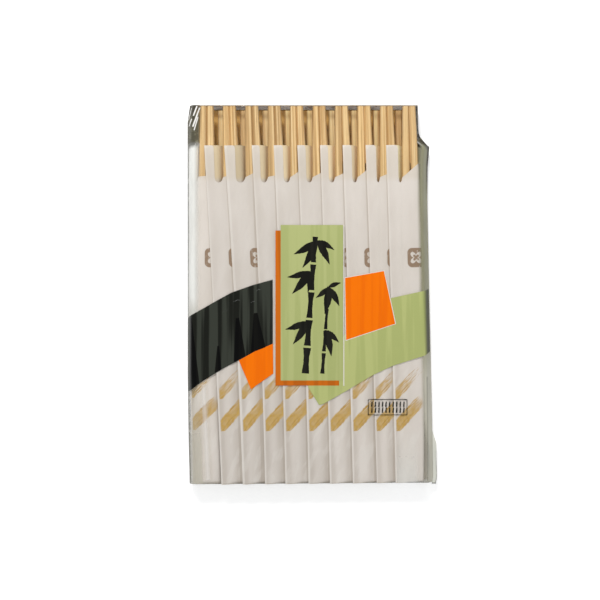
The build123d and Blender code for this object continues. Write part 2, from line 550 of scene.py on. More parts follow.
@dataclass(frozen=True)
class PaperFinish:
    """Thin white wrapping paper, printed with a stamp and two dry gold brush strokes."""

    name: str = "sleeve_paper"
    next_fold: tuple[float, float, float] = (99.0, 0.0, 0.0)
    tone: float = 1.0
    # How much lighter or darker this sleeve's painted channel shade is.
    channel_painted_light: float = 1.0
    white: Colour = (0.86, 0.795, 0.73)
    fibre: Colour = (0.79, 0.725, 0.655)
    # A painted warm shade for the mouth's channel, standing for the wood's light through the thin paper and
    # the shade down there.
    wood_shade: Colour = (0.82, 0.665, 0.42)
    # A painted warm shade on the tongues, for the wood that shows through them.
    tongue_shade: Colour = (0.66, 0.56, 0.41)
    # A painted highlight for the folds and ripples.
    fold_highlight: Colour = (0.93, 0.89, 0.83)
    # The painted shade of sunken paper and contact lines.
    shade: Colour = (0.44, 0.37, 0.30)
    gold: Colour = (0.70, 0.46, 0.12)
    gold_deep: Colour = (0.50, 0.285, 0.055)
    stamp: Colour = (0.29, 0.18, 0.10)
    flat_width: float = 60.0
    flat_length: float = 220.0
    bow_start: float = 22.0
    bow_length: float = 190.0
    mouth: float = 43.0
    stamp_centre: Point = (15.4, 85.0)
    stamp_half: Point = (4.9, 5.4)
    stamp_corner: float = 2.6
    strokes: tuple = (
        ((-5.0, 186.0), (18.0, 163.5), 3.1, 0.16, 181.2),
        ((-4.5, 167.6), (18.0, 145.6), 2.5, 0.29, 163.2),
    )

    def rounded_box(self, g: Graph, x: Socket, y: Socket) -> Socket:
        """Measure how far outside the stamp's rounded square a point is.

        Args:
            g: Nodes of the paper.
            x: Place across the flat paper.
            y: Distance from the head.

        Returns:
            The distance in millimetres, below 0 inside.
        """
        past = []
        for place, centre, half in zip((x, y), self.stamp_centre, self.stamp_half):
            past.append(g.minus(g.size(g.minus(place, centre)), half - self.stamp_corner))
        outside = g.hypot(g.most(past[0], 0.0), g.most(past[1], 0.0))
        inside = g.math("MINIMUM", g.most(*past), 0.0)
        return g.minus(g.plus(outside, inside), self.stamp_corner)

    def blossom(self, g: Graph, x: Socket, y: Socket) -> Socket:
        """Draw a plain four-petalled figure in the middle of the stamp.

        Args:
            g: Nodes of the paper.
            x: Place across the flat paper.
            y: Distance from the head.

        Returns:
            The figure's mask.
        """
        dx, dy = g.minus(x, self.stamp_centre[0]), g.minus(y, self.stamp_centre[1])
        radius = g.hypot(dx, dy)
        lobes = g.size(g.math("SINE", g.times(g.math("ARCTAN2", dy, dx), 2.0)))
        edge = g.plus(1.3, g.times(lobes, 2.7))
        petals = g.step(g.minus(radius, edge), 0.25, -0.25)
        hollow = g.step(g.minus(radius, g.times(edge, 0.52)), -0.2, 0.2)
        return g.times(petals, hollow)

    def stroke(self, g: Graph, x: Socket, y: Socket, plan: tuple) -> tuple[Socket, Socket]:
        """Draw one dry brush stroke, cut level at its foot and running out into hairlines.

        Args:
            g: Nodes of the paper.
            x: Place across the flat paper.
            y: Distance from the head.
            plan: Start, end, half width, dryness and the level of its foot.

        Returns:
            The stroke's mask and its bristle marks.
        """
        start, end, half, dryness, level = plan
        along, across, length = g.along_line(x, y, start, end)
        bristles = g.noise(g.join(g.times(across, 2.3), g.times(along, 0.11)), 1.0, 2.0, 0.6)
        ragged = g.noise(g.join(across, g.times(along, 0.5)), 0.9, 3.0, 0.6)
        share = g.most(g.divided(along, length), 0.0)
        drying = g.times(g.math("POWER", share, 1.3), 0.36)
        wet = g.step(g.minus(bristles, g.plus(drying, dryness)), -0.03, 0.05)
        spread = g.plus(half * 0.72, g.times(ragged, half * 0.6))
        body = g.step(g.minus(g.size(across), spread), 0.35, -0.35)
        foot = g.step(g.minus(y, g.plus(level, g.times(ragged, 0.5))), 0.5, 0.0)
        side = g.step(g.plus(x, ragged), 1.6, 2.2)
        stop = g.step(g.plus(along, g.times(bristles, 12.0)), length + 7.0, length + 3.0)
        return g.times(body, wet, foot, side, stop), bristles

    def drape(self, g: Graph, x: Socket, y: Socket, tone: Socket) -> Socket:
        """Paint shade where the paper sinks beside its own fold and towards the next sleeve's fold, and paint
        highlights on the folds and along faint ripples.

        Args:
            g: Nodes of the paper.
            x: Place across the flat paper.
            y: Distance from the head.
            tone: Colour of the flat paper.

        Returns:
            Its colour with painted shade in the valleys and painted highlights on the folds.
        """
        start, slope, bow = self.next_fold
        arc = g.math("SINE", g.times(g.minus(y, self.bow_start), pi / self.bow_length))
        gap = g.minus(g.plus(start, g.times(y, slope), g.times(arc, bow)), x)
        slack = g.step(y, 70.0, 190.0)
        wander = g.noise(g.join(g.times(x, 0.35), g.times(y, 0.035)), 1.0, 2.0)
        # Painted shade where the paper sinks towards the next fold and in the valley beside its own fold.
        sunk = g.times(g.step(gap, 5.5, 0.2), g.plus(0.12, g.times(slack, 0.30)))
        valley = g.times(g.step(x, 0.7, 1.6), g.step(x, 5.5, 2.0), g.plus(0.08, g.times(slack, 0.20)))
        both = g.times(g.plus(sunk, valley), g.plus(0.35, g.times(wander, 1.3)))
        ripples = g.noise(g.mapped(g.place(), (170, 45, 170), 0.3), 1.0, 3.0, 0.55)
        # A painted sheen along faint ripples.
        lit = g.times(g.step(ripples, 0.50, 0.62), g.plus(0.06, g.times(slack, 0.2)))
        # A painted contact shadow just before the next fold, and a painted highlight on its own fold.
        contact = g.times(g.step(gap, 1.0, 0.4), 0.42)
        fold = g.times(g.step(x, 1.25, 0.55), g.plus(0.22, g.times(slack, 0.22)))
        shades, highlights = (both, contact), (lit, fold)
        for dark, light in zip(shades, highlights):
            tone = g.mix(light, g.mix(dark, tone, self.shade), self.fold_highlight)
        return tone

    def printed(self, g: Graph, x: Socket, y: Socket, tone: Socket, fibres: Socket) -> Socket:
        """Print the gold strokes and the stamp.

        Args:
            g: Nodes of the paper.
            x: Place across the flat paper.
            y: Distance from the head.
            tone: Colour of the bare paper.
            fibres: The paper's fibres, which wear the stamp.

        Returns:
            Its colour with the print.
        """
        mottle = g.noise(g.join(x, y), 0.4, 2.0, 0.6)
        patchy = g.minus(0.97, g.times(g.step(mottle, 0.58, 0.40), 0.16))
        for plan in self.strokes:
            mask, bristles = self.stroke(g, x, y, plan)
            tint = g.mix(g.step(bristles, 0.36, 0.66), self.gold, self.gold_deep)
            tone = g.mix(g.times(mask, patchy), tone, tint)
        square = g.step(self.rounded_box(g, x, y), 0.15, -0.15)
        ground = g.minus(1.0, self.blossom(g, x, y))
        worn = g.step(fibres, 0.75, 0.55)
        return g.mix(g.times(square, ground, worn, 0.9), tone, self.stamp)

    def material(self) -> Material:
        """Build the paper with its print and fibres, painted shade and highlights, and a painted warm light
        and shade from the wood behind its mouth.

        Returns:
            The material of one sleeve.
        """
        g = Graph(self.name)
        across, along, _ = g.split(g.flat())
        x = g.times(across, self.flat_width)
        y = g.times(g.minus(1.0, along), self.flat_length)
        place = g.place()
        cloudy = g.noise(g.mapped(place, (90, 25, 90)), 1.0, 3.0)
        fibres = g.noise(g.mapped(place, (900, 400, 900)), 1.0, 4.0, 0.65)
        crumple = g.noise(g.mapped(place, (420, 260, 420)), 1.0, 3.0)
        white, fibre = tinted(self.white, self.tone), tinted(self.fibre, self.tone)
        back_panel = g.step(x, self.flat_width / 2 + 1.0, self.flat_width / 2 + 3.0)
        near_mouth = g.step(y, self.mouth, self.mouth - 4.0)
        tone = g.mix(g.step(cloudy, 0.3, 0.75), white, fibre)
        tone = g.mix(g.times(g.step(fibres, 0.45, 0.8), 0.2), tone, fibre)
        tone = self.drape(g, x, y, tone)
        # Painted warm shade on the tongues, and a deeper painted shade in the mouth's channel.
        tone = g.mix(g.times(near_mouth, 0.25), tone, self.tongue_shade)
        tone = g.mix(g.times(back_panel, near_mouth, 0.9), tone, tinted(self.wood_shade, self.channel_painted_light))
        tone = self.printed(g, x, y, tone, fibres)
        normal = g.bump(g.plus(g.times(crumple, 3.0), fibres), 0.3, 0.05)
        return g.finish(g.principled(tone, 0.72, 0.3, normal))


@dataclass(frozen=True)
class FilmFinish:
    """Clear glossy film; haze is how much of its own colour shows."""

    name: str
    haze: float
    colour: Colour
    # Colour of the inside faces: a painted shade where only shade is seen.
    inside: Colour | None = None
    clear: Colour = (0.985, 0.985, 0.98)
    gloss: float = 0.09
    mirror: float = 0.28
    rough: float = 0.35

    def material(self) -> Material:
        """Build the film: see-through, with a mirror share that grows at grazing angles.

        Film with a colour for its inside is dense there and shows that colour as a painted shade, for the
        dark gaps between the heads.

        Returns:
            The film's material.
        """
        g = Graph(self.name)
        normal = g.bump(g.wrinkles(), 0.25, 0.3)
        colour, haze = self.colour, self.haze
        # Seen from inside, the film turns opaque and shows its painted shade.
        if self.inside:
            within = g.node("ShaderNodeNewGeometry").outputs["Backfacing"]
            colour = g.mix(within, colour, self.inside)
            haze = g.most(within, haze)
        body = g.principled(colour, self.rough, 0.1, normal)
        sheet = g.blend_shaders(haze, g.transparent(self.clear), body)
        return g.finish(g.shiny(sheet, normal, self.gloss, self.mirror))


@dataclass(frozen=True)
class FilmSkinFinish:
    """The bag's clear skin, its folded walls in painted colour: a painted shade on the right wall and at the
    gathered head end, a painted light on the left and at the foot, painted highlights along its creases and
    painted dark lines along its edges and dark folds.

    A crease or a dark fold is two points in millimetres, its half width and its strength.
    """

    name: str = "film_skin"
    # Painted colours that the hazy film shows: a shade on the right wall, lighter low down, a light on the
    # left, a brown shade at the head.
    wall_shade: Colour = (0.34, 0.33, 0.215)
    low_wall_shade: Colour = (0.64, 0.615, 0.51)
    left_wall_light: Colour = (0.92, 0.925, 0.885)
    head_shade: Colour = (0.42, 0.27, 0.09)
    # The painted shade of dark edges and dark folds.
    edge_shade: Colour = (0.05, 0.043, 0.03)
    # The painted highlight of the creases.
    crease_highlight: Colour = (0.97, 0.95, 0.92)
    haze_share: float = 0.86
    base_haze: float = 0.006
    gloss: float = 0.1
    mirror: float = 0.25
    # Creases are painted highlights of the film's folds and glare.
    creases: tuple = (
        ((-64.1, 105.4), (-66.0, 100.3), 0.6, 0.85),
        ((-62.5, 104.6), (-66.3, 94.2), 0.65, 0.9),
        ((-63.5, 99.4), (-65.6, 92.2), 0.55, 0.6),
        ((-68.9, 95.0), (-67.2, 98.2), 0.6, 0.7),
        ((-69.6, 98.8), (-67.6, 104.8), 0.45, 0.6),
        ((-60.4, -50.0), (-57.8, -103.5), 3.2, 0.42),
    )
    # Painted shade lines along the bag's dark folds.
    dark_folds: tuple = (
        ((60.0, 86.7), (66.0, 82.7), 2.2, 1.0),
        ((66.1, 83.2), (65.7, 73.0), 1.2, 0.9),
        ((64.8, -46.0), (65.2, -106.0), 0.8, 0.4),
    )

    def crease(self, g: Graph, x: Socket, y: Socket, line: tuple) -> Socket:
        """Draw one crease.

        Args:
            g: Nodes of the film.
            x: X of the points.
            y: Y of the points.
            line: Start, end, half width and strength of the crease.

        Returns:
            Its mask.
        """
        start, end, wide, strong = line
        along, aside, length = g.along_line(x, y, start, end)
        ends = g.times(g.step(along, -0.5, 0.5), g.step(along, length + 0.5, length))
        return g.times(g.step(g.size(aside), wide, 0.0), strong, ends)

    def painted_wall_tone(self, g: Graph, x: Socket, y: Socket) -> Socket:
        """Choose the film's painted wall colour by its place on the bag.

        Args:
            g: Nodes of the film.
            x: X of the points.
            y: Y of the points.

        Returns:
            The colour: an olive painted shade on the right wall, a brown painted shade at the head, a
                near-white painted light on the left and at the foot.
        """
        tone = g.mix(g.step(y, -20.0, -50.0), self.wall_shade, self.low_wall_shade)
        at_head = g.times(g.step(y, 100.0, 103.0), g.step(x, -66.0, -63.0))
        at_left = g.times(g.step(x, -58.0, -61.0), g.step(y, -30.0, 0.0), g.step(y, 86.0, 84.0))
        at_foot = g.times(g.step(x, 44.0, 46.0), g.step(x, 62.0, 59.0), g.step(y, -60.0, -75.0))
        tone = g.mix(at_head, tone, self.head_shade)
        return g.mix(g.most(at_left, at_foot), tone, self.left_wall_light)

    def material(self) -> Material:
        """Build the skin from its stored haze and its stored painted darkness.

        Returns:
            The skin's material.
        """
        g = Graph(self.name)
        place = g.place()
        x, y, _ = g.split(g.vector_math("MULTIPLY", place, (1 / MM,) * 3))
        wrinkles = g.wrinkles()
        flecks = g.noise(g.mapped(place, (420, 300, 420)), 1.0, 3.0, 0.6)
        normal = g.bump(wrinkles, 0.25, 0.3)
        dark = g.stored("dark")
        share = g.times(g.stored("haze"), self.haze_share, g.plus(0.75, g.times(wrinkles, 0.5)))
        share = g.math("ADD", share, self.base_haze, clamp=True)
        depth = g.times(dark, g.minus(1.0, g.times(g.step(flecks, 0.5, 0.62), 0.3)))
        share = g.most(share, g.times(depth, 0.96))
        # The painted wall colour, and painted shade on the dark edges.
        tone = g.mix(depth, self.painted_wall_tone(g, x, y), self.edge_shade)
        # Painted highlights along the creases, then painted shade along the dark folds.
        for line in self.creases:
            mask = self.crease(g, x, y, line)
            tone = g.mix(g.step(mask, 0.0, 0.5), tone, self.crease_highlight)
            share = g.most(share, mask)
        for line in self.dark_folds:
            mask = self.crease(g, x, y, line)
            tone = g.mix(mask, tone, self.edge_shade)
            share = g.most(share, mask)
        sheet = g.blend_shaders(share, g.transparent(), g.principled(tone, 0.4, 0.12, normal))
        mirror = g.minus(self.mirror, g.times(g.step(dark, 0.0, 0.4), 0.22))
        return g.finish(g.shiny(sheet, normal, self.gloss, mirror))


@dataclass(frozen=True)
class InkFinish:
    """Glossy ink printed on the film."""

    name: str
    colour: Colour
    # Second tone of the lengthwise streaks: partly uneven ink, partly a painted reflection of the wavy film.
    worn: Colour
    cover: float = 0.985
    streak: tuple[float, float] = (0.45, 0.57)

    def material(self) -> Material:
        """Build the ink: lengthwise streaks of tone that follow the film, partly uneven ink and partly a
        painted reflection of the wavy film, a painted shade on the bag's right wall, a little see-through.

        Returns:
            The ink's material.
        """
        g = Graph(self.name)
        streaks = g.noise(g.mapped(g.place(), (230, 9, 230)), 1.0, 2.0)
        tone = g.mix(g.step(streaks, *self.streak), self.colour, self.worn)
        # Painted shade on the bag's right wall.
        tone = g.mix(g.stored("shade"), tone, tinted(self.colour, 0.10))
        body = g.principled(tone, 0.3, 0.10, g.bump(g.wrinkles(), 0.2, 0.25))
        return g.finish(g.blend_shaders(self.cover, g.transparent(), body))


@dataclass(frozen=True)
class Layout:
    """Places of the twenty pairs, in millimetres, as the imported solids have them."""

    pairs_per_row: int = 10
    head_pitch: float = 12.6
    first_head_x: float = -58.7
    front_head_y: float = 105.6
    back_shift: Point = (-3.3, -1.0)
    second_lean: float = 2.05
    lean_step: float = 0.106
    front_base: float = 6.26
    back_base: float = 0.38
    pair_length: float = 210.0
    mid_height: float = 2.9
    mid_half_width: float = 5.5
    half_taper: float = 1.9
    mid_thickness: float = 4.6
    thickness_taper: float = 1.0
    left_flaps: tuple[float, ...] = (4.8, 7.6, 9.3, 6.5, 7.0, 6.1, 6.5, 6.7, 5.6, 8.1)
    folded_half: float = 5.7

    def lean(self, column: int) -> float:
        """Angle of a column, in radians; its foot leans to the right."""
        return radians(self.second_lean - (column - 1) * self.lean_step) if column else 0.0

    def head(self, row: Row, column: int) -> tuple[float, float, float]:
        """Find the middle of a pair's head.

        Args:
            row: Layer of the pair.
            column: Its number from the left, from 0.

        Returns:
            X, Y and the height that the row lies on.
        """
        if row is Row.BACK:
            x, y, base = *self.back_shift, self.back_base
        else:
            x, y, base = 0.0, 0.0, self.front_base
        return self.first_head_x + x + column * self.head_pitch, self.front_head_y + y, base

    def bow(self, distance: np.ndarray) -> np.ndarray:
        """How far a point along the pair is from its thick middle: 0 there and 1 at both ends."""
        half = self.pair_length / 2
        return ((distance - half) / half) ** 2

    def half_width(self, distance: np.ndarray) -> np.ndarray:
        """Half the width of a pair at a distance from its head."""
        return self.mid_half_width - self.half_taper * self.bow(distance)

    def thickness(self, distance: np.ndarray) -> np.ndarray:
        """Thickness of a pair at a distance from its head."""
        return self.mid_thickness - self.thickness_taper * self.bow(distance)

    def pitch(self, column: int, distance: np.ndarray) -> np.ndarray:
        """Distance from a column to the one on its left."""
        return self.head_pitch + distance * (sin(self.lean(column)) - sin(self.lean(column - 1)))

    def world(self, row: Row, column: int, points: Sequence[np.ndarray]) -> np.ndarray:
        """Points of the pack for points of one pair.

        Args:
            row: Layer of the pair.
            column: Its number from the left, from 0.
            points: Distances to the right of the pair's middle and from its head, and heights.

        Returns:
            Points in millimetres, the last axis X, Y and Z.
        """
        across, along, up = points
        x, y, base = self.head(row, column)
        lean = self.lean(column)
        place_x = x + across * cos(lean) + along * sin(lean)
        place_y = y + across * sin(lean) - along * cos(lean)
        return np.stack([place_x, place_y, base + up], axis=-1)

    def fold_lines(self, y: np.ndarray) -> np.ndarray:
        """Find the left folds of the front sleeves.

        Args:
            y: Y of the places.

        Returns:
            X of the folds there, the last axis one sleeve a column.
        """
        lines = []
        for column in range(self.pairs_per_row):
            x, head_y, _ = self.head(Row.FRONT, column)
            reach = self.folded_half + self.left_flaps[column]
            lines.append(x - reach + (head_y - y) * sin(self.lean(column)))
        return np.stack(lines, axis=-1)


@dataclass(frozen=True)
class Crumple:
    """Faint unevenness of paper or film, made of a few long waves."""

    seed: int
    height: float
    across: tuple[float, float] = (0.25, 1.1)
    along: tuple[float, float] = (0.02, 0.22)
    waves: int = 9

    def rise(self, x: np.ndarray, y: np.ndarray) -> np.ndarray:
        """Add up the waves.

        Args:
            x: X of the points.
            y: Y of the points.

        Returns:
            Height of the waves there, in millimetres.
        """
        dice = np.random.default_rng(self.seed)
        total = np.zeros_like(x)
        for _ in range(self.waves):
            kx = dice.uniform(*self.across) * dice.choice((-1, 1))
            ky = dice.uniform(*self.along)
            total += np.sin(kx * x + ky * y + dice.uniform(0, 2 * pi)) * dice.uniform(0.4, 1.0)
        return self.height * total / self.waves


@dataclass
class Pairs:
    """The twenty joined pairs of sticks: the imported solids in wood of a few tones."""

    layout: Layout
    # Painted light: the back row's wood is made lighter to offset the shade it lies in between the front
    # pairs.
    back_row_painted_light: float = 1.12

    def finish_for(self, row: Row, column: int) -> WoodFinish:
        """Choose the wood of one pair, its grain along the pair.

        Args:
            row: Layer of the pair.
            column: Its number from the left, from 0.

        Returns:
            The finish, with a painted light in the back row to lift the shade it lies in below the front row.
        """
        dice = np.random.default_rng(100 * (row is Row.BACK) + column)
        tone = dice.uniform(0.95, 1.05) * (self.back_row_painted_light if row is Row.BACK else 1.0)
        warm = dice.uniform(-0.02, 0.02)
        colours = {name: tinted(getattr(WoodFinish, name), tone, warm) for name in ("pale", "deep", "streak")}
        return WoodFinish(
            name=f"wood_{row.value}_{column + 1:02d}",
            lean=-self.layout.lean(column),
            head=self.layout.head(row, column)[:2],
            shift=tuple(float(v) for v in dice.uniform(-0.4, 0.4, 3)),
            **colours,
        )

    def build(self) -> None:
        """Dress every pair in its own wood."""
        for row in Row:
            for column in range(self.layout.pairs_per_row):
                name = f"{row.value}_pair_{column + 1:02d}"
                Workbench.dress(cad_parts[name], self.finish_for(row, column).material())
                head_y = self.layout.head(row, column)[1]


@dataclass
class Sleeve:
    """One half-open paper sleeve: a flat tube round a pair, with folded flaps and a notched mouth.

    Its outline starts at the left fold, runs over the pair to the right fold and back under it. Point
    tongue_point of it is the tongue's edge, right_point the right fold, and it has point_count points.
    """

    layout: Layout
    row: Row
    column: int
    paper: float = 0.1
    flat_width: float = 30.0
    mouth: float = 21.8
    notch_depth: float = 20.0
    foot: float = 209.6
    lift: float = 0.16
    under_panel: float = 0.46
    slack_start: float = 80.0
    slack_length: float = 110.0
    least_slack: float = 0.3
    tongue_edges: tuple[float, ...] = (7.2, 9.4, 10.1, 8.8, 8.4, 8.3, 8.3, 7.7, 6.6, 6.9)
    fold_bow: tuple[float, ...] = (0.0, 0.4, 1.0, 0.9, 0.6, 0.6, 0.3, 0.2, 0.2, 0.2)
    mouth_skews: tuple[float, ...] = (0.0, -1.4, -1.1, -1.1, -0.85, -1.1, -0.55, -0.3, -1.1, 0.3)
    foot_skews: tuple[float, ...] = (0.0, 1.4, 2.8, 0.3, 0.0, -0.2, 0.0, 0.8, 0.9, 1.7)
    # How much lighter or darker each front sleeve's painted channel shade is.
    channel_painted_lights: tuple[float, ...] = (1.0, 0.90, 0.78, 0.94, 1.08, 1.0, 1.2, 1.05, 1.25, 1.4)
    paper_tones: tuple[float, ...] = (1.0, 0.92, 0.91, 0.91, 0.93, 0.94, 0.96, 0.97, 0.99, 0.98)
    mouth_rises: tuple[float, ...] = (0.6, 0.8, 4.5, 1.4, 6.2, 4.6, 4.0, 7.4, 3.4, 8.0)
    print_shifts: tuple[float, ...] = (-0.3, 0.0, -0.5, 0.0, 0.0, 0.0, 0.0, 0.0, 0.4, 0.0)
    foot_rows: tuple[Point, ...] = ((210.4, 1.0), (211.2, 0.72), (211.75, 0.3), (211.95, 0.02))
    foot_step: float = 0.12
    slot_shares: tuple[float, ...] = (0.0, 0.15, 0.42, 0.75, 0.93, 1.0)
    slot_depths: tuple[float, ...] = (41.0, 42.3, 42.9, 42.6, 41.1, 39.7)
    mouth_depth: float = 39.5
    mouth_rows: int = 6
    body_rows: int = 24
    tongue_point: int = 4
    right_point: int = 18
    point_count: int = 32
    left_hang: dict = field(default_factory=lambda: {Row.FRONT: (6.1, 44.0), Row.BACK: (4.8, 76.0)})
    right_hang: float = 56.0
    crumple: Crumple = Crumple(seed=7, height=0.08)

    @property
    def label(self) -> str:
        """The sleeve's number in names, from 01."""
        return f"{self.column + 1:02d}"

    @property
    def hangs_left(self) -> bool:
        """True for the first sleeve of a row, whose flap hangs beside the pack."""
        return self.column == 0

    @property
    def hangs_right(self) -> bool:
        """True for the last sleeve of the front row."""
        return self.column == self.layout.pairs_per_row - 1 and self.row is Row.FRONT

    def skew(self, column: int) -> Point:
        """The skew of a sleeve round its pair: its fold's shift to the right at the head, and its slope."""
        slope = (self.foot_skews[column] - self.mouth_skews[column]) / (self.layout.pair_length - self.mouth)
        return self.mouth_skews[column] - slope * self.mouth, slope

    def next_fold(self) -> tuple[float, float, float]:
        """Find where the next sleeve's fold lies on this one's paper.

        Returns:
            Its place at the head, its slope, and its bow.
        """
        layout, column = self.layout, self.column
        if self.row is Row.BACK or column == layout.pairs_per_row - 1:
            return PaperFinish.next_fold
        own, following = self.skew(column), self.skew(column + 1)
        slope = sin(layout.lean(column + 1)) - sin(layout.lean(column)) + following[1] - own[1]
        flaps = layout.left_flaps[column] - layout.left_flaps[column + 1]
        start = layout.head_pitch + flaps + following[0] - own[0] + self.print_shifts[column]
        bow = self.fold_bow[column + 1] - self.fold_bow[column]
        return start + (1.6 if self.hangs_left else 0.35), slope, bow

    def relief(self, d: np.ndarray) -> np.ndarray:
        """How slack the paper is at a distance from the head: a little near the mouth, fully at the foot."""
        share = held((d - self.slack_start) / self.slack_length)
        return self.least_slack + (1 - self.least_slack) * share * share * (3 - 2 * share)

    def reach(self, d: np.ndarray) -> np.ndarray:
        """Find the left fold, bowed a little to the right in the middle of some sleeves.

        Args:
            d: Distances from the head.

        Returns:
            Its places across.
        """
        arc = np.sin(pi * held((d - PaperFinish.bow_start) / PaperFinish.bow_length))
        start, slope = self.skew(self.column)
        straight = start + slope * d - self.layout.folded_half - self.layout.left_flaps[self.column]
        return self.fold_bow[self.column] * arc + straight

    def left_hanging(self, d: np.ndarray, half: np.ndarray, top: np.ndarray) -> tuple[Outline, Outline]:
        """Shape a left flap that hangs beside the pack.

        Args:
            d: Distances from the head; not used.
            half: Half the width inside the sleeve there.
            top: Height of the pair's upper side there.

        Returns:
            Points of its upper side from the fold in, and of its under side from the pair out.
        """
        flap, drop = self.left_hang[self.row]
        start = -half + 0.2
        tip = start - 0.3 - flap * cos(radians(drop))
        fall = flap * sin(radians(drop)) + self.lift
        edge = np.maximum(tip + 0.9, -self.tongue_edges[0])

        def bent(across: np.ndarray, under: float) -> tuple[np.ndarray, np.ndarray]:
            """A point of the bent flap, or of the layer under it."""
            share = held((start - across) / (start - tip))
            return across, top + self.lift - fall * share ** 1.35 - under

        middle = (tip + edge) / 2
        upper = [bent(tip, 0.1), bent(tip + 0.12, 0.0), bent(tip + 0.35, 0.0), bent(middle + 0.15, 0.0)]
        upper += [bent(edge + (start - edge) * share, 0.0) for share in self.slot_shares[:-1]]
        upper += [(start, top + self.lift)]
        lower = [(start - 0.3, self.layout.mid_height), (start - 0.35, top - 1.3)]
        lower += [(start - 0.5, top - 0.6), bent(edge, 0.3), bent(middle, 0.3), bent(tip + 0.14, 0.24)]
        return upper, lower

    def left_lying(self, d: np.ndarray, half: np.ndarray, top: np.ndarray) -> tuple[Outline, Outline]:
        """Shape a left flap that lies over the neighbour.

        Args:
            d: Distances from the head.
            half: Half the width inside the sleeve there.
            top: Height of the pair's upper side there.

        Returns:
            Points of its upper and under side, in the order of left_hanging.
        """
        fold = top + 0.6
        slack = self.relief(d)
        reach = self.reach(d)
        root = np.clip(-self.layout.pitch(self.column, d) + half + 0.4, -7.6, -half - 0.3)
        start = -half + 0.2
        edge = -self.tongue_edges[self.column]
        crest = top + 0.18 + 0.42 * slack
        inner, outer = root + 0.25, root - 0.35
        line = [(reach + 1.1, fold + 0.04), (reach + 2.4, fold - 0.02 - 0.22 * slack)]
        line += [(outer, fold - 0.04 - 0.16 * slack), (inner, fold - 0.08 - 0.12 * slack)]
        for share in (0.5, 0.82):
            height = (fold - 0.08) * (1 - share) + crest * share - 0.10 * (1 - share)
            line.append((inner + (start - inner) * share, height))
        line.append((start, crest))

        def upon(across: np.ndarray) -> tuple[np.ndarray, np.ndarray]:
            """Find the point of the upper side at a place across.

            Args:
                across: The place.

            Returns:
                The place and its height.
            """
            height = line[0][1]
            for (left, low), (right, high) in zip(line, line[1:]):
                height = height + (high - low) * held((across - left) / (right - left))
            return across, height

        upper = [(reach, fold - 0.12), (reach + 0.15, fold + 0.06), line[0], upon((reach + 1.1 + edge) / 2)]
        upper += [upon(edge + (start - edge) * share) for share in self.slot_shares]
        under = fold - 0.36
        lower = [((root - half) / 2, top - 0.9), (root + 0.12, fold - 0.75)]
        lower += [(outer, under - 0.02 - 0.04 * slack), ((outer + reach + 1.2) / 2, under)]
        lower += [(reach + 1.2, under), (reach + 0.18, under + 0.04)]
        return upper, lower

    def right_side(self, d: np.ndarray, half: np.ndarray, top: np.ndarray, low: np.ndarray) -> Outline:
        """Shape the right flap, which lies under the neighbour or hangs beside the pack.

        Args:
            d: Distances from the head.
            half: Half the width inside the sleeve there.
            top: Height of the pair's upper side there.
            low: Height of its under side there.

        Returns:
            Points from the pair's upper edge round the fold to under the pair.
        """
        layout = self.layout
        side = layout.mid_thickness + 0.5
        flap = self.flat_width - layout.left_flaps[self.column] - 2 * layout.folded_half - side
        walls = [(half - 0.05, top - 0.02), (half + 0.15, (top + low) / 2), (half + 0.2, 0.75)]
        if self.hangs_left:
            room = layout.pitch(1, d) - layout.folded_half - layout.left_flaps[1] + 2.0 - half
            spread = np.maximum(0, room)
            walls = [(half + 0.5 * spread, top - 0.05 - 0.08 * spread)]
            walls += [(half + 0.15 + spread, top - 0.7 - 0.2 * spread), (half + 0.2 + 0.3 * spread, 0.9)]
        if self.hangs_right:
            out, down = cos(radians(self.right_hang)), sin(radians(self.right_hang))
            start = half + 0.25
            steps = [(0.8, 0.3), (flap - 0.2, 0.3), (flap, 0.14), (flap - 0.2, 0.0), (0.4, 0.02)]
            return walls + [(start + s * out + up * down, -s * down + up * out) for s, up in steps]
        tip = layout.folded_half + flap
        flaps = [(half + 0.8, 0.40), (tip - 0.25, 0.33), (tip, 0.19), (tip - 0.25, 0.05), (half + 0.6, 0.08)]
        return walls + flaps

    def section(self, d: np.ndarray) -> tuple[np.ndarray, np.ndarray]:
        """Shape the closed outline of the sleeve.

        Args:
            d: Distances from the head.

        Returns:
            Places across and heights, one line for each outline point and one column for each distance.
        """
        layout = self.layout
        half = layout.half_width(d) + 0.2
        thick = layout.thickness(d)
        top, low = layout.mid_height + thick / 2, layout.mid_height - thick / 2
        slack = self.relief(d)
        left_side = self.left_hanging if self.hangs_left else self.left_lying
        upper, lower = left_side(d, half, top)
        panel = [(-half + 1.0, top + self.lift + 0.40 * slack), (0, top + 0.11 + 0.08 * slack)]
        panel += [(half - 0.9, top + 0.14)]
        under = [(half - 0.9, 0.42), (0, self.under_panel), (-half + 0.5, self.under_panel)]
        under += [(-half - 0.12, low + 0.5)]
        points = upper + panel + self.right_side(d, half, top, low) + under + lower
        return tuple(np.stack([point[axis] + 0 * d for point in points + points[:1]]) for axis in (0, 1))

    def notch(self, across: np.ndarray) -> np.ndarray:
        """Shape the mouth's edge: a rounded slot beside the tongue, then rising to the right.

        Args:
            across: Places across of the outline's points.

        Returns:
            Distances of the edge from the head.
        """
        slot = list(across[self.tongue_point:self.tongue_point + len(self.slot_shares)])
        rise = self.mouth_rises[self.column]
        beyond = [slot[-1] + 0.9, 0.6, self.layout.folded_half]
        depths = [*self.slot_depths, *(self.mouth_depth - rise * share for share in (0, 0.5, 1))]
        return np.interp(across, slot + beyond, depths)

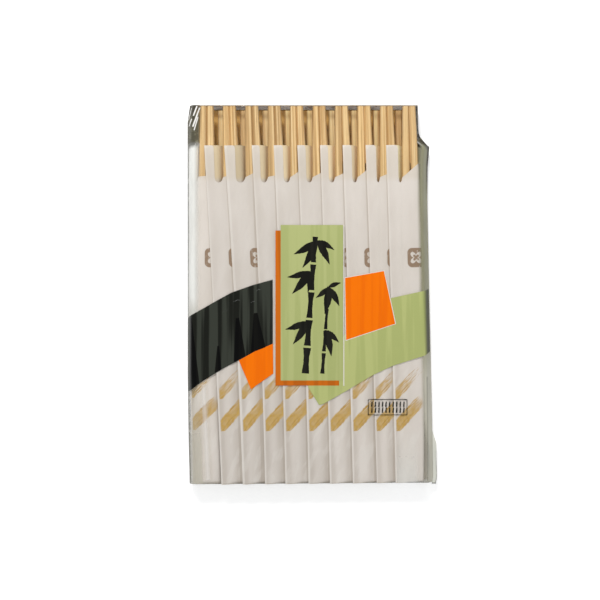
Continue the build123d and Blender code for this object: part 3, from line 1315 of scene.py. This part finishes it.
    def stations(self) -> tuple[np.ndarray, np.ndarray]:
        """Set out the rows of vertices, from the head to the pressed foot.

        Returns:
            Distances from the head, one column for each outline point, and each row's fullness from 0 to 1.
        """
        across, _ = self.section(np.full(1, self.mouth + self.notch_depth - 2))
        start = self.notch(across[:, 0])
        mouth = np.linspace(0, 1, self.mouth_rows + 1)[:-1, None]
        body = np.linspace(0, 1, self.body_rows)[:, None] ** 1.1
        rows = [self.mouth + (start - self.mouth) * mouth, start + (self.foot - start) * body]
        shorter = self.foot_step * self.column
        for distance, share in self.foot_rows:
            rows.append(np.full((1, self.point_count), distance - shorter * (1 - share * 0.6)))
        full = np.ones((sum(len(part) for part in rows), 1))
        full[-len(self.foot_rows):, 0] = [share for _, share in self.foot_rows]
        return np.concatenate(rows), full

    def outline_points(self) -> tuple[np.ndarray, np.ndarray, np.ndarray]:
        """Shape the whole sleeve.

        Returns:
            Across, along and up for every vertex, in rows of outline points.
        """
        d, full = self.stations()
        across, up = np.empty_like(d), np.empty_like(d)
        for number in range(self.point_count):
            line_across, line_up = self.section(d[:, number])
            across[:, number], up[:, number] = line_across[number], line_up[number]
        right = self.right_point
        for line in np.flatnonzero(full[:, 0] < 1):
            u, z = across[line], up[line]
            over = np.interp(u, u[:right + 1], z[:right + 1])
            under = np.interp(u, u[right:][::-1], z[right:][::-1])
            middle = (over + under) / 2
            up[line] = middle + (z - middle) * full[line]
        return across, d, up

    def flat_map(self, piece: Piece, across: np.ndarray, d: np.ndarray, up: np.ndarray) -> None:
        """Give the piece a map of the flat paper: round the tube by its length, and along the sleeve.

        Args:
            piece: The sleeve as a grid.
            across: Places across of its vertices.
            d: Their distances from the head.
            up: Their heights.
        """
        right = self.right_point
        steps = np.hypot(np.diff(across, axis=1), np.diff(up, axis=1))
        length = np.concatenate([np.zeros((len(d), 1)), np.cumsum(steps, axis=1)], axis=1)
        front = length[:, right:right + 1]
        back = length[:, -1:] - front
        round_front = length / front * 0.5
        round_back = 0.5 + (length - front) / back * 0.5
        u = np.where(np.arange(self.point_count)[None, :] <= right, round_front, round_back)
        u = u + self.print_shifts[self.column] / PaperFinish.flat_width
        v = 1 - d / PaperFinish.flat_length
        pairs = np.stack([u, v], axis=-1).reshape(-1, 2)
        corners = np.empty(len(piece.data.loops), dtype=np.int32)
        piece.data.loops.foreach_get("vertex_index", corners)
        layer = piece.data.uv_layers[0]
        layer.name = "flat"
        layer.data.foreach_set("uv", pairs[corners].reshape(-1))

    def cut_mouth(self, piece: Piece) -> None:
        """Delete the front panel above the notch, from the tongue to the right fold.

        Args:
            piece: The sleeve as a grid.
        """
        line, column = np.divmod(np.arange(len(piece.data.polygons)), self.point_count - 1)
        panel = (column >= self.tongue_point) & (column < self.right_point)
        Workbench.delete_faces(piece, panel & (line < self.mouth_rows))

    def rumple(self, piece: Piece) -> None:
        """Add the paper's faint waves.

        Args:
            piece: The sleeve, smooth and of no thickness.
        """
        points = Workbench.points(piece)
        points[:, 2] += self.crumple.rise(points[:, 0], points[:, 1])
        Workbench.place(piece, points)

    def material(self) -> Material:
        """Choose the sleeve's paper.

        Returns:
            Its own paper in the front row; the back row shares one.
        """
        if self.row is Row.BACK:
            return bpy.data.materials.get("paper_back") or PaperFinish("paper_back").material()
        tone, channel_painted_light = self.paper_tones[self.column], self.channel_painted_lights[self.column]
        return PaperFinish(f"paper_front_{self.label}", self.next_fold(), tone, channel_painted_light).material()

    def build(self) -> None:
        """Model the sleeve in place of its solid."""
        points = self.outline_points()
        name = f"{self.row.value}_paper_sleeve_{self.label}"
        piece = Workbench.sheet(name, self.layout.world(self.row, self.column, points))
        self.flat_map(piece, *points)
        self.cut_mouth(piece)
        Workbench.weld(piece, 0.01)
        Workbench.apply(piece, "SUBSURF", levels=1, render_levels=1)
        self.rumple(piece)
        Workbench.apply(piece, "SOLIDIFY", thickness=self.paper * MM, offset=0.0, use_even_offset=False)
        Workbench.smooth(piece, PAPER_SMOOTH_ANGLE)
        Workbench.dress(piece, self.material())
        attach(piece, "root")
        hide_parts(f"{self.row.value}_sleeve_{self.label}")
        Workbench.report(piece)


@dataclass(frozen=True)
class FilmShape:
    """Upper surface of the film bag as a height over the floor, in millimetres."""

    layout: Layout
    foot: float = -107.5
    head: float = 107.5
    crease: float = 4.6
    top: float = 12.34
    bottom: float = 0.22
    head_drop: float = 0.62
    left_line: Line = (
        (-107.6, -69.2),
        (-100.0, -69.3),
        (-80.0, -69.8),
        (-45.0, -70.3),
        (98.1, -70.4),
        (107.6, -69.0),
    )
    right_line: Line = (
        (-107.6, 68.7),
        (-103.6, 69.3),
        (-70.0, 68.8),
        (-3.0, 67.2),
        (53.0, 66.1),
        (72.0, 66.2),
        (84.2, 67.2),
        (87.9, 62.4),
        (89.5, 61.4),
        (95.0, 60.9),
        (107.6, 60.6),
    )
    foot_slope: float = 0.0065
    left_wall: float = 3.2
    right_wall: float = 4.1
    head_wall: float = 1.3
    end_wall: float = 1.3
    shoulder_start: float = 82.0
    shoulder_length: float = 6.0
    bare_start: float = 78.0
    bare_length: float = 10.0
    lower_wall_share: float = 0.34
    last_fold_reach: float = 18.0
    sag: float = 0.12
    waves: Crumple = Crumple(seed=21, height=0.06, across=(0.05, 0.5), along=(0.03, 0.2))

    def left(self, y: np.ndarray) -> np.ndarray:
        """X of the bag's left crease at Y."""
        return np.interp(y, *zip(*self.left_line))

    def right(self, y: np.ndarray) -> np.ndarray:
        """X of the bag's right crease at Y."""
        return np.interp(y, *zip(*self.right_line))

    def foot_line(self, x: np.ndarray) -> np.ndarray:
        """Y of the bag's foot at X: the bag is cut a little askew."""
        return self.foot + self.foot_slope * (x - self.left_line[0][1])

    def inward(self, x: np.ndarray, y: np.ndarray, scale: float = 1.0) -> np.ndarray:
        """Measure how far in from the creases a point is.

        Args:
            x: X of the points.
            y: Y of the points.
            scale: Width of the walls' slope, as a share of the upper walls' width.

        Returns:
            0 on a crease and 1 at the inner end of the walls' slope.
        """
        narrow = held((y - self.shoulder_start) / self.shoulder_length)
        wall = self.right_wall + (self.head_wall - self.right_wall) * narrow
        sides = [(x - self.left(y)) / self.left_wall, (self.right(y) - x) / wall]
        ends = [(y - self.foot_line(x)) / self.end_wall, (self.head - y) / self.end_wall]
        return np.minimum.reduce(sides + ends) / scale

    @staticmethod
    def rounded(share: np.ndarray, blend: float = 0.3) -> np.ndarray:
        """The share held at 1, with a soft shoulder."""
        part = held(0.5 + 0.5 * (1 - share) / blend)
        return held(share * part + (1 - part) - blend * part * (1 - part))

    def phase(self, x: np.ndarray, y: np.ndarray) -> np.ndarray:
        """Find the position between two sleeve folds.

        Args:
            x: X of the points.
            y: Y of the points.

        Returns:
            0 on the fold to the left, 1 on the one to the right.
        """
        lines = self.layout.fold_lines(y)
        first = lines[..., :1] - self.layout.head_pitch
        last = lines[..., -1:] + self.last_fold_reach
        lines = np.concatenate([first, lines, last], axis=-1)
        number = np.clip((lines <= x[..., None]).sum(axis=-1) - 1, 0, lines.shape[-1] - 2)[..., None]
        low = np.take_along_axis(lines, number, axis=-1)[..., 0]
        high = np.take_along_axis(lines, number + 1, axis=-1)[..., 0]
        return held((x - low) / (high - low))

    def taut(self, x: np.ndarray, y: np.ndarray) -> np.ndarray:
        """Shape the taut sheet over the sleeves, without its side walls.

        Args:
            x: X of the points.
            y: Y of the points.

        Returns:
            Its height there.
        """
        along = np.clip(self.layout.front_head_y - y, 0, self.layout.pair_length)
        droop = (self.layout.mid_thickness - self.layout.thickness(along)) / 2
        bare = held((y - self.bare_start) / self.bare_length)
        bare = bare * bare * (3 - 2 * bare)
        dip = self.sag * np.sin(pi * held((self.phase(x, y) - 0.46) / 0.52)) ** 2
        return self.top - droop - self.head_drop * bare - dip + self.waves.rise(x, y)

    def height(self, x: np.ndarray, y: np.ndarray) -> np.ndarray:
        """Height of the film at points seen from above."""
        return self.crease + (self.taut(x, y) - self.crease) * self.rounded(self.inward(x, y))

    def underside(self, x: np.ndarray, y: np.ndarray) -> np.ndarray:
        """Height of the film's lower half."""
        slope = self.rounded(self.inward(x, y, self.lower_wall_share))
        return self.crease + (self.bottom - self.crease) * slope

    def over(self, plan: np.ndarray, lift: float) -> np.ndarray:
        """Points that lie a lift over the film, for the X and Y of a plan."""
        x, y = plan[..., 0], plan[..., 1]
        return np.stack([x, y, self.height(x, y) + lift], axis=-1)


@dataclass
class FilmBag:
    """The sealed film bag: its skin, its closing flap and seam on the back, and one loose ear."""

    shape: FilmShape
    columns: int = 150
    rows: int = 92
    flap_length: float = 34.0
    flap_inset: float = 2.2
    seam_width: float = 12.0
    ear_length: float = 30.0
    ear_width: float = 2.1
    ear_thickness: float = 0.08
    ear_tone: Colour = (0.80, 0.81, 0.73)

    @staticmethod
    def fractions(middle: int, edge: float, steps: int) -> np.ndarray:
        """Shares from 0 to 1, closer together near both ends."""
        start = np.linspace(0, edge, steps, endpoint=False)
        return np.concatenate([start, np.linspace(edge, 1 - edge, middle), 1 - start[::-1]])

    def plan(self) -> tuple[np.ndarray, np.ndarray]:
        """Set out the skin's vertices.

        Returns:
            Their X and Y, row by row.
        """
        share_x = self.fractions(self.columns, 0.034, 8)[None, :]
        share_y = self.fractions(self.rows, 0.014, 7)[:, None]
        y = self.shape.foot + (self.shape.head - self.shape.foot) * share_y + 0 * share_x
        left, right = self.shape.left(y), self.shape.right(y)
        x = left + (right - left) * share_x
        foot = self.shape.foot_line(x)
        return x, foot + (self.shape.head - foot) * share_y

    def mark(self, piece: Piece) -> None:
        """Store how much painted wall colour (haze) and how much painted dark shade (dark) the film shows at
        each vertex.

        Args:
            piece: The skin.
        """
        x, y, z = Workbench.points(piece).T.astype(float)
        shape = self.shape
        upper = held((z - 8.5) / 2)
        from_left, from_right = x - shape.left(y), shape.right(y) - x
        from_foot = y - shape.foot_line(x)
        # Haze: where the film shows its painted wall colour, a shade on the right wall, the lower left, the
        # top-left corner, the head and the foot's edge, and a light on the left and at the foot's right end.
        right = held((7.0 - from_right) / (2.2 + 3.0 * held((-70 - y) / 20))) * (y < 86)
        left = held((8.2 - from_left) / 3.4) * np.clip((y + 40) / 40, 0.2, 1) * (y < 84)
        foot_left = held((8.9 - from_left) / 0.8) * held((-52 - y) / 34) * 0.55
        foot_light = held((x - 46.5) / 2) * held((61 - x) / 3) * held((-76 - y) / 24) * 0.5
        corner = held((-62.6 - x) / 0.8) * held((y - 82) / 1.5)
        head = held((y - shape.head + 1.9) / 0.6) * np.where(z < 5, 1, 0.2 + 0.8 * upper)
        foot = held(1 - (from_foot - 1.3) / 0.5) * 0.75
        haze = np.maximum.reduce([right, left, foot_left, foot_light, corner, head, foot])
        # Dark: painted dark lines along the film's right, left and foot edges, and painted shade over the
        # head end and the top-left corner.
        from_end = np.minimum(from_foot, shape.head - y)
        edge = held((1.4 - from_right) / 0.4) * held((y - 55) / 12)
        left_edge = held((1.3 - from_left) / 0.4) * np.clip(0.58 + abs(y + 15) / 220, 0, 0.85)
        foot_edge = held((1.9 - from_end) / 0.5) * np.clip((x - 50) / 8, 0.1, 0.9) * (y < 0) * upper
        dim = corner * np.clip(0.84 + (y - 96) / 40, 0.82, 0.97)
        dark = np.maximum.reduce([edge, left_edge, foot_edge, head * 0.55, dim])
        Workbench.store(piece, haze=haze, dark=dark)

    def skin(self, material: Material) -> None:
        """Model the closed skin from an upper and a lower sheet welded along the creases.

        Args:
            material: Its finish.
        """
        x, y = self.plan()
        heights = {"film_skin": self.shape.height(x, y), "film_underside": self.shape.underside(x, y)}
        sheets = [Workbench.sheet(name, np.stack([x, y, z], axis=-1)) for name, z in heights.items()]
        piece = Workbench.join(sheets)
        Workbench.weld(piece, 0.005)
        self.mark(piece)
        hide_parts("film_bag")
        Workbench.hang_film(piece, material)

    def backing(self, name: str, points: tuple[np.ndarray, ...], material: Material) -> None:
        """Model one sheet on the back of the pack, facing down.

        Args:
            name: Name of the piece.
            points: X, Y and height of its vertices, row by row.
            material: Its finish.
        """
        piece = Workbench.sheet(name, np.stack(points, axis=-1))
        piece.data.flip_normals()
        Workbench.hang_film(piece, material)

    def closing_flap(self, material: Material) -> None:
        """Model the flap folded over the back at the head end.

        Args:
            material: Its finish.
        """
        shape, columns = self.shape, 60
        y = np.linspace(shape.head - self.flap_length, shape.head - 1.2, 20)[:, None] + np.zeros((1, columns))
        left, right = shape.left(y) + self.flap_inset, shape.right(y) - self.flap_inset
        x = left + (right - left) * np.linspace(0, 1, columns)[None, :]
        z = 0.08 + 0.05 * (1 + np.sin(x * 0.5 + y * 0.11))
        self.backing("film_closing_flap", (x, y, z), material)

    def back_seam(self, material: Material) -> None:
        """Model the welded seam that runs along the middle of the back.

        Args:
            material: Its finish.
        """
        rows, half = 80, self.seam_width / 2
        x = np.linspace(-half, half, 9)[None, :] + np.zeros((rows, 1))
        y = np.linspace(self.shape.foot + 1.5, self.shape.head - self.flap_length, rows)[:, None] + 0 * x
        z = 0.12 + 0.03 * np.sin(y * 0.4 + x)
        self.backing("film_back_seam", (x, y, z), material)

    def ear(self, material: Material) -> None:
        """Model the loose ear of film at the foot, beside the right crease.

        Args:
            material: Its finish.
        """
        foot, columns = self.shape.foot, 7
        y = np.linspace(foot, foot + self.ear_length, 31)[:, None] + np.zeros((1, columns))
        share = np.linspace(0, 1, columns)[None, :]
        width = self.ear_width * held((self.ear_length - (y - foot)) / 7)
        x = self.shape.right(y) - 0.25 + (width + 0.3) * share
        z = self.shape.crease + 0.35 * share * np.sin(y * 0.35)
        piece = Workbench.sheet("film_ear", np.stack([x, y, z], axis=-1))
        outer = held((share - 0.8) / 0.15) * held((-86 - y) / 12)
        end = held((foot + 1.0 - y) / 0.5)
        # Painted dark lines along the ear's outer side and its end.
        Workbench.store(piece, haze=np.ones_like(x), dark=np.maximum(outer, end) * 0.9)
        Workbench.apply(piece, "SOLIDIFY", thickness=self.ear_thickness * MM, offset=0.0)
        Workbench.hang_film(piece, material)

    def build(self) -> None:
        """Model every film piece: clear skin, closing flap painted brown inside as the shade between the
        heads, hazy grey seam and pale ear.
        """
        tone = self.ear_tone
        pale = FilmSkinFinish("film_ear", tone, tone, haze_share=0.84, creases=(), dark_folds=())
        self.skin(FilmSkinFinish().material())
        # The closing flap's inside is a painted brown shade, seen through the gaps between the heads.
        self.closing_flap(FilmFinish("film_flap_painted_shade", 0.5, (0.50, 0.50, 0.44), (0.86, 0.53, 0.17)).material())
        self.back_seam(FilmFinish("film_milky", 0.55, (0.62, 0.62, 0.56)).material())
        self.ear(pale.material())


@dataclass(frozen=True)
class Patch:
    """A printed area between an upper and a lower edge, each a line of points from left to right."""

    name: str
    upper: Line
    lower: Line
    ink: InkFinish
    lift: float
    columns: int = 60
    rows: int = 24
    shade_margin: float = 0.6
    shade_width: float = 2.2

    @staticmethod
    def along(line: Line, count: int) -> np.ndarray:
        """Divide a line.

        Args:
            line: Its points.
            count: Number of parts.

        Returns:
            X and Y of evenly spaced points along it.
        """
        points = np.array(line, dtype=float)
        steps = np.concatenate([[0], np.cumsum(np.hypot(*np.diff(points, axis=0).T))])
        at = np.linspace(0, steps[-1], count + 1)
        return np.stack([np.interp(at, steps, points[:, 0]), np.interp(at, steps, points[:, 1])], axis=-1)

    def build(self, shape: FilmShape) -> None:
        """Model the patch on the film, with a painted shade on its ink over the right wall.

        Args:
            shape: The film that it lies on.
        """
        top, low = self.along(self.upper, self.columns), self.along(self.lower, self.columns)
        share = np.linspace(0, 1, self.rows + 1)[:, None, None]
        plan = low[None] + (top - low)[None] * share
        piece = Workbench.sheet(self.name, shape.over(plan, self.lift))
        from_right = shape.right(plan[..., 1]) - plan[..., 0]
        shaded_from = shape.right_wall + self.shade_margin
        # Store the painted shade of the right wall for the ink.
        Workbench.store(piece, shade=held((shaded_from - from_right) / self.shade_width))
        Workbench.hang_film(piece, self.ink.material())


@dataclass(frozen=True)
class Stroke:
    """One pressed and lifted brush stroke: a bent line and its width at each point."""

    points: Line
    widths: tuple[float, ...]
    steps: int = 28
    across: int = 4

    def plan(self, seed: int) -> np.ndarray:
        """Lay out the stroke, its edges a little ragged.

        Args:
            seed: Seed of the raggedness.

        Returns:
            X and Y of its grid.
        """
        points = np.array(self.points, dtype=float)
        fine = np.linspace(0, 1, self.steps + 1)
        if len(points) == 3:
            line = np.stack([(1 - fine) ** 2, 2 * fine * (1 - fine), fine ** 2], axis=-1) @ points
        else:
            at = np.linspace(0, 1, len(points))
            line = np.stack([np.interp(fine, at, points[:, k]) for k in (0, 1)], axis=-1)
        ahead = np.gradient(line, axis=0)
        ahead /= np.hypot(*ahead.T)[:, None]
        side = np.stack([-ahead[:, 1], ahead[:, 0]], axis=-1)
        width = np.interp(fine, np.linspace(0, 1, len(self.widths)), self.widths)
        dice = np.random.default_rng(seed)
        share = np.linspace(-0.5, 0.5, self.across + 1)
        rag = dice.normal(0, 0.05, (self.steps + 1, self.across + 1)) * (np.abs(share) > 0.4)
        return line[:, None] + side[:, None] * (width[:, None] * share[None] + rag)[..., None]


@dataclass
class Artwork:
    """The print on the film: a dark band, tilted orange fields, green fields, brushwork and a count box; with
    painted shade wedges on the band and painted glints.
    """

    shape: FilmShape
    green: InkFinish = InkFinish("ink_green", (0.47, 0.51, 0.21), (0.42, 0.465, 0.18))
    pale_green: InkFinish = InkFinish("ink_pale_green", (0.49, 0.53, 0.205), (0.43, 0.475, 0.175))
    orange: InkFinish = InkFinish("ink_orange", (0.98, 0.19, 0.0), (0.92, 0.165, 0.0))
    deep_orange: InkFinish = InkFinish("ink_deep_orange", (0.64, 0.15, 0.008), (0.52, 0.125, 0.008))
    dark: InkFinish = InkFinish("ink_dark", (0.010, 0.011, 0.008), (0.040, 0.045, 0.035), 0.99)
    # Ink of the painted shade wedges.
    pitch: InkFinish = InkFinish("ink_painted_shade", (0.001, 0.001, 0.001), (0.004, 0.004, 0.003), 0.99)
    # Painted glints of the film's creases.
    glint: InkFinish = InkFinish("film_glint", (0.20, 0.21, 0.20), (0.14, 0.15, 0.14), 0.5)
    brush: InkFinish = InkFinish("ink_brush", (0.008, 0.008, 0.006), (0.014, 0.014, 0.010))
    white: InkFinish = InkFinish("ink_white", (0.80, 0.76, 0.70), (0.76, 0.72, 0.66))
    band: tuple[Line, Line] = (
        (
            (-70.0, -13.2),
            (-68.7, -12.4),
            (-58.9, -6.9),
            (-52.3, -3.1),
            (-44.5, 1.1),
            (-33.2, 5.1),
            (-21.7, 8.3),
        ),
        (
            (-70.0, -55.0),
            (-68.3, -54.1),
            (-61.3, -48.8),
            (-49.5, -41.4),
            (-40.5, -36.7),
            (-31.4, -31.6),
            (-21.6, -27.5),
        ),
    )
    sweep: tuple[Line, Line] = (
        ((-2.0, -51.5), (3.6, -41.0), (13.1, -28.2), (27.1, -13.1), (44.4, -2.0), (63.2, 2.1), (66.6, 3.2)),
        (
            (4.2, -61.7),
            (6.4, -61.2),
            (19.3, -53.9),
            (34.0, -45.1),
            (45.3, -39.8),
            (63.4, -34.0),
            (67.3, -32.2),
        ),
    )
    # Painted shade: deep black wedges where the film stands off the paper over the dark band.
    wedges: tuple[tuple[Line, Line], ...] = (
        (((-67.9, -13.4), (-66.9, -13.1)), ((-68.5, -53.4), (-62.6, -49.4))),
        (((-52.6, -28.8), (-51.6, -28.6)), ((-54.0, -43.7), (-50.2, -41.9))),
        (((-42.3, -13.3), (-40.4, -13.0)), ((-43.4, -37.8), (-36.8, -34.4))),
        (((-32.2, -10.5), (-30.2, -10.2)), ((-33.9, -32.6), (-25.6, -29.4))),
    )
    left_field: tuple[Line, Line] = (
        ((-40.8, -36.3), (-31.2, -30.9), (-21.5, -26.9)),
        ((-33.8, -52.9), (-21.3, -44.1)),
    )
    tilted: tuple[Line, Line] = (((18.7, 9.2), (40.4, 13.1)), ((19.3, -25.4), (46.7, -16.3)))
    rimmed: tuple[Line, Line] = (((18.4, 9.5), (40.7, 13.5)), ((19.0, -25.9), (47.2, -16.5)))
    stalk_plans: tuple = (((-3.5, -44.5), (2.2, 33.0), 3.4, 5), ((6.0, -44.5), (9.6, 5.0), 1.9, 4))
    leaf_bunches: tuple = (
        ((3.0, 30.0), ((-150, 15.0, 4.2), (-118, 17.0, 4.6), (-62, 15.0, 4.2), (-28, 11.0, 3.2))),
        ((-1.0, 13.0), ((-165, 13.0, 3.6), (-128, 16.0, 4.6), (-95, 12.0, 3.4))),
        ((9.4, 4.0), ((-140, 9.0, 3.0), (-98, 15.0, 4.4), (-60, 12.0, 3.8), (20, 7.5, 2.6))),
        ((-2.4, -15.0), ((-160, 13.0, 3.8), (-122, 15.0, 4.2))),
        ((7.2, -20.0), ((-75, 15.0, 4.2), (-40, 10.5, 3.4))),
    )
    box: tuple[float, float, float, float] = (31.7, 53.3, -67.2, -58.6)
    tallies: int = 10
    tally_pitch: float = 1.98
    tally_height: float = 2.9
    stroke_step: float = 0.002
    glint_places: tuple = (
        (-43.9, -4.2, 4.2, 0.35),
        (-34.0, -4.6, 3.2, 0.3),
        (-31.2, 2.0, 3.4, 0.28),
        (-49.5, -9.5, 2.6, 0.25),
    )

    @staticmethod
    def box_lines(left: float, right: float, low: float, high: float) -> tuple[Line, Line]:
        """Upper and lower edge of an upright rectangle."""
        return ((left, high), (right, high)), ((left, low), (right, low))

    def fields(self) -> list[Patch]:
        """List every plain printed field.

        Returns:
            The fields, each with its lift over the film and its faces across and along.
        """
        post = self.box_lines(-20.1, -17.2, -50.8, 35.7)
        foot = self.box_lines(-17.3, 15.4, -50.8, -47.9)
        panel = self.box_lines(-17.2, 17.6, -48.0, 38.8)
        margin = self.box_lines(17.8, 18.3, -51.0, 38.8)
        wedges = [
            Patch(f"painted_shade_wedge_{number}", *edges, self.pitch, 0.07, 8, 40)
            for number, edges in enumerate(self.wedges, start=1)
        ]
        return [
            Patch("print_dark_band", *self.band, self.dark, 0.05, 70, 40),
            *wedges,
            Patch("print_green_sweep", *self.sweep, self.pale_green, 0.05, 110, 40),
            Patch("print_orange_left", *self.left_field, self.orange, 0.035),
            Patch("print_orange_rim", *self.rimmed, self.white, 0.08),
            Patch("print_orange_right", *self.tilted, self.orange, 0.10),
            Patch("print_margin", *margin, self.white, 0.11, 3, 90),
            Patch("print_orange_post", *post, self.deep_orange, 0.10, 6, 90),
            Patch("print_orange_foot", *foot, self.deep_orange, 0.10, 60, 6),
            Patch("print_green_panel", *panel, self.green, 0.12, 70, 90),
        ]

    def stalks(self) -> list[Stroke]:
        """Draw the jointed bamboo stalks.

        Returns:
            One stroke for each joint, from the foot up.
        """
        joints = []
        for foot, tip, width, count in self.stalk_plans:
            start, way = np.array(foot), np.array(tip) - np.array(foot)
            for number in range(count):
                ends = tuple(tuple(start + way * (number + share) / count) for share in (0.03, 0.95))
                taper = width * (1 - 0.08 * number)
                joints.append(Stroke(ends, tuple(taper * share for share in (1.25, 0.92, 0.9, 1.3))))
        return joints

    def leaves(self) -> list[Stroke]:
        """Draw the pointed bamboo leaves in loose bunches.

        Returns:
            One stroke for each leaf.
        """
        leaves = []
        for (x, y), bunch in self.leaf_bunches:
            for angle, length, width in bunch:
                turn = radians(angle)
                tip = (x + length * cos(turn), y + length * sin(turn))
                bend = (x + length * 0.5 * cos(turn + 0.16), y + length * 0.5 * sin(turn + 0.16))
                widths = (0.5, width * 0.7, width, width * 0.86, width * 0.45, 0.12)
                leaves.append(Stroke(((x, y), bend, tip), widths))
        return leaves

    def count_box(self) -> list[Stroke]:
        """Draw a thin-lined box with twenty short tally strokes.

        Returns:
            The four sides and the tally strokes.
        """
        left, right, low, high = self.box
        corners = ((left, low), (right, low), (right, high), (left, high), (left, low))
        lines = [Stroke(ends, (0.34, 0.34), 20, 2) for ends in zip(corners, corners[1:])]
        for y in (low + 1.2, low + 4.5):
            for number in range(self.tallies):
                x = left + 1.9 + number * self.tally_pitch
                lines.append(Stroke(((x, y), (x + 0.25, y + self.tally_height)), (0.8, 0.62), 6, 2))
        return lines

    def glints(self) -> list[Stroke]:
        """Draw painted glints: the short bright creases of the film over the dark band.

        Returns:
            One stroke for each crease.
        """
        strokes = []
        for x, y, long, wide in self.glint_places:
            bent = ((x, y), (x + long * 0.55, y + long * 0.32), (x + long, y + long * 0.25))
            strokes.append(Stroke(bent, (0.08, wide, 0.1), 12, 2))
        return strokes

    def joined(self, name: str, strokes: list[Stroke], lift: float, ink: InkFinish) -> None:
        """Lay strokes on the film, each a hair over the last, and join them to one piece.

        Args:
            name: Name of the piece.
            strokes: Its strokes.
            lift: Height of the first one over the film.
            ink: Their finish.
        """
        pieces = []
        for number, stroke in enumerate(strokes):
            points = self.shape.over(stroke.plan(number), lift + self.stroke_step * number)
            pieces.append(Workbench.sheet(f"{name}_{number}", points))
        whole = Workbench.join(pieces)
        whole.name = whole.data.name = name
        Workbench.hang_film(whole, ink.material())

    def build(self) -> None:
        """Model all of the print."""
        for patch in self.fields():
            patch.build(self.shape)
        self.joined("print_bamboo", self.stalks() + self.leaves(), 0.15, self.brush)
        self.joined("print_count_box", self.count_box(), 0.07, self.brush)
        self.joined("film_glints", self.glints(), 0.09, self.glint)


@dataclass
class Studio:
    """Pale floor, soft light and a camera straight above the pack."""

    camera_place: tuple[float, float, float] = (-6.42, -3.07, 412.0)
    frame_width: float = 335.1
    frame_distance: float = 400.0
    sensor: float = 36.0
    sky: Colour = (0.98, 0.99, 1.0)
    sky_strength: float = 0.60
    lamp_power: float = 4.0
    lamp_place: tuple[float, float, float] = (-0.13, 0.60, 0.52)
    lamp_size: float = 0.16
    lamp_colour: Colour = (1.0, 0.985, 0.96)
    floor_tones: tuple[Colour, Colour] = ((0.92, 0.92, 0.92), (0.94, 0.94, 0.94))
    floor_glow: float = 0.42
    floor_size: float = 6.0
    floor_height: float = -0.0002

    def camera(self) -> None:
        """Look straight down on the pack."""
        Workbench.clear_selection()
        bpy.ops.object.camera_add(location=Vector(self.camera_place) * MM, rotation=(0, 0, 0))
        camera = bpy.context.object
        camera.name = "camera"
        camera.data.sensor_width = self.sensor
        camera.data.lens = self.sensor * self.frame_distance / self.frame_width
        camera.data.clip_start = 0.01
        bpy.context.scene.camera = camera

    def floor(self) -> None:
        """Lay a white floor that keeps the pack's soft shadow."""
        Workbench.clear_selection()
        bpy.ops.mesh.primitive_plane_add(size=self.floor_size, location=(0, 0, self.floor_height))
        floor = bpy.context.object
        floor.name = "floor"
        g = Graph("floor_white")
        tone = g.mix(g.noise(g.place(), 40.0, 2.0), *self.floor_tones)
        dull = {"Base Color": tone, "Roughness": 0.9, "Specular IOR Level": 0.1}
        lit = g.node("ShaderNodeBsdfPrincipled", dull)
        glow = g.times(g.node("ShaderNodeLightPath").outputs["Is Camera Ray"], self.floor_glow)
        white = g.node("ShaderNodeEmission", {"Color": (1.0, 1.0, 1.0), "Strength": glow})
        shader = g.node("ShaderNodeAddShader", {0: lit.outputs[0], 1: white.outputs[0]}).outputs[0]
        Workbench.dress(floor, g.finish(shader))

    def light(self) -> None:
        """Set the even sky and one broad lamp."""
        world = bpy.data.worlds.new("sky")
        bpy.context.scene.world = world
        world.use_nodes = True
        background = world.node_tree.nodes["Background"]
        background.inputs["Color"].default_value = (*self.sky, 1.0)
        background.inputs["Strength"].default_value = self.sky_strength
        Workbench.clear_selection()
        place = Vector(self.lamp_place)
        turn = (-place).to_track_quat("-Z", "Y").to_euler()
        bpy.ops.object.light_add(type="AREA", location=place, rotation=turn)
        lamp = bpy.context.object
        lamp.name = "key_lamp"
        lamp.data.shape = "RECTANGLE"
        lamp.data.size = lamp.data.size_y = self.lamp_size
        lamp.data.energy = self.lamp_power
        lamp.data.color = self.lamp_colour

    def build(self) -> None:
        """Set up the whole studio."""
        self.camera()
        self.floor()
        self.light()
        bpy.context.scene.view_settings.view_transform = "Standard"


def main() -> None:
    """Build the pack, logging the size of each new piece."""
    logging.basicConfig(level=logging.INFO, format="%(name)s %(message)s")
    layout = Layout()
    shape = FilmShape(layout)
    Studio().build()
    Pairs(layout).build()
    for row in Row:
        for column in range(layout.pairs_per_row):
            Sleeve(layout, row, column).build()
    FilmBag(shape).build()
    Artwork(shape).build()


if __name__ == "__main__":
    main()
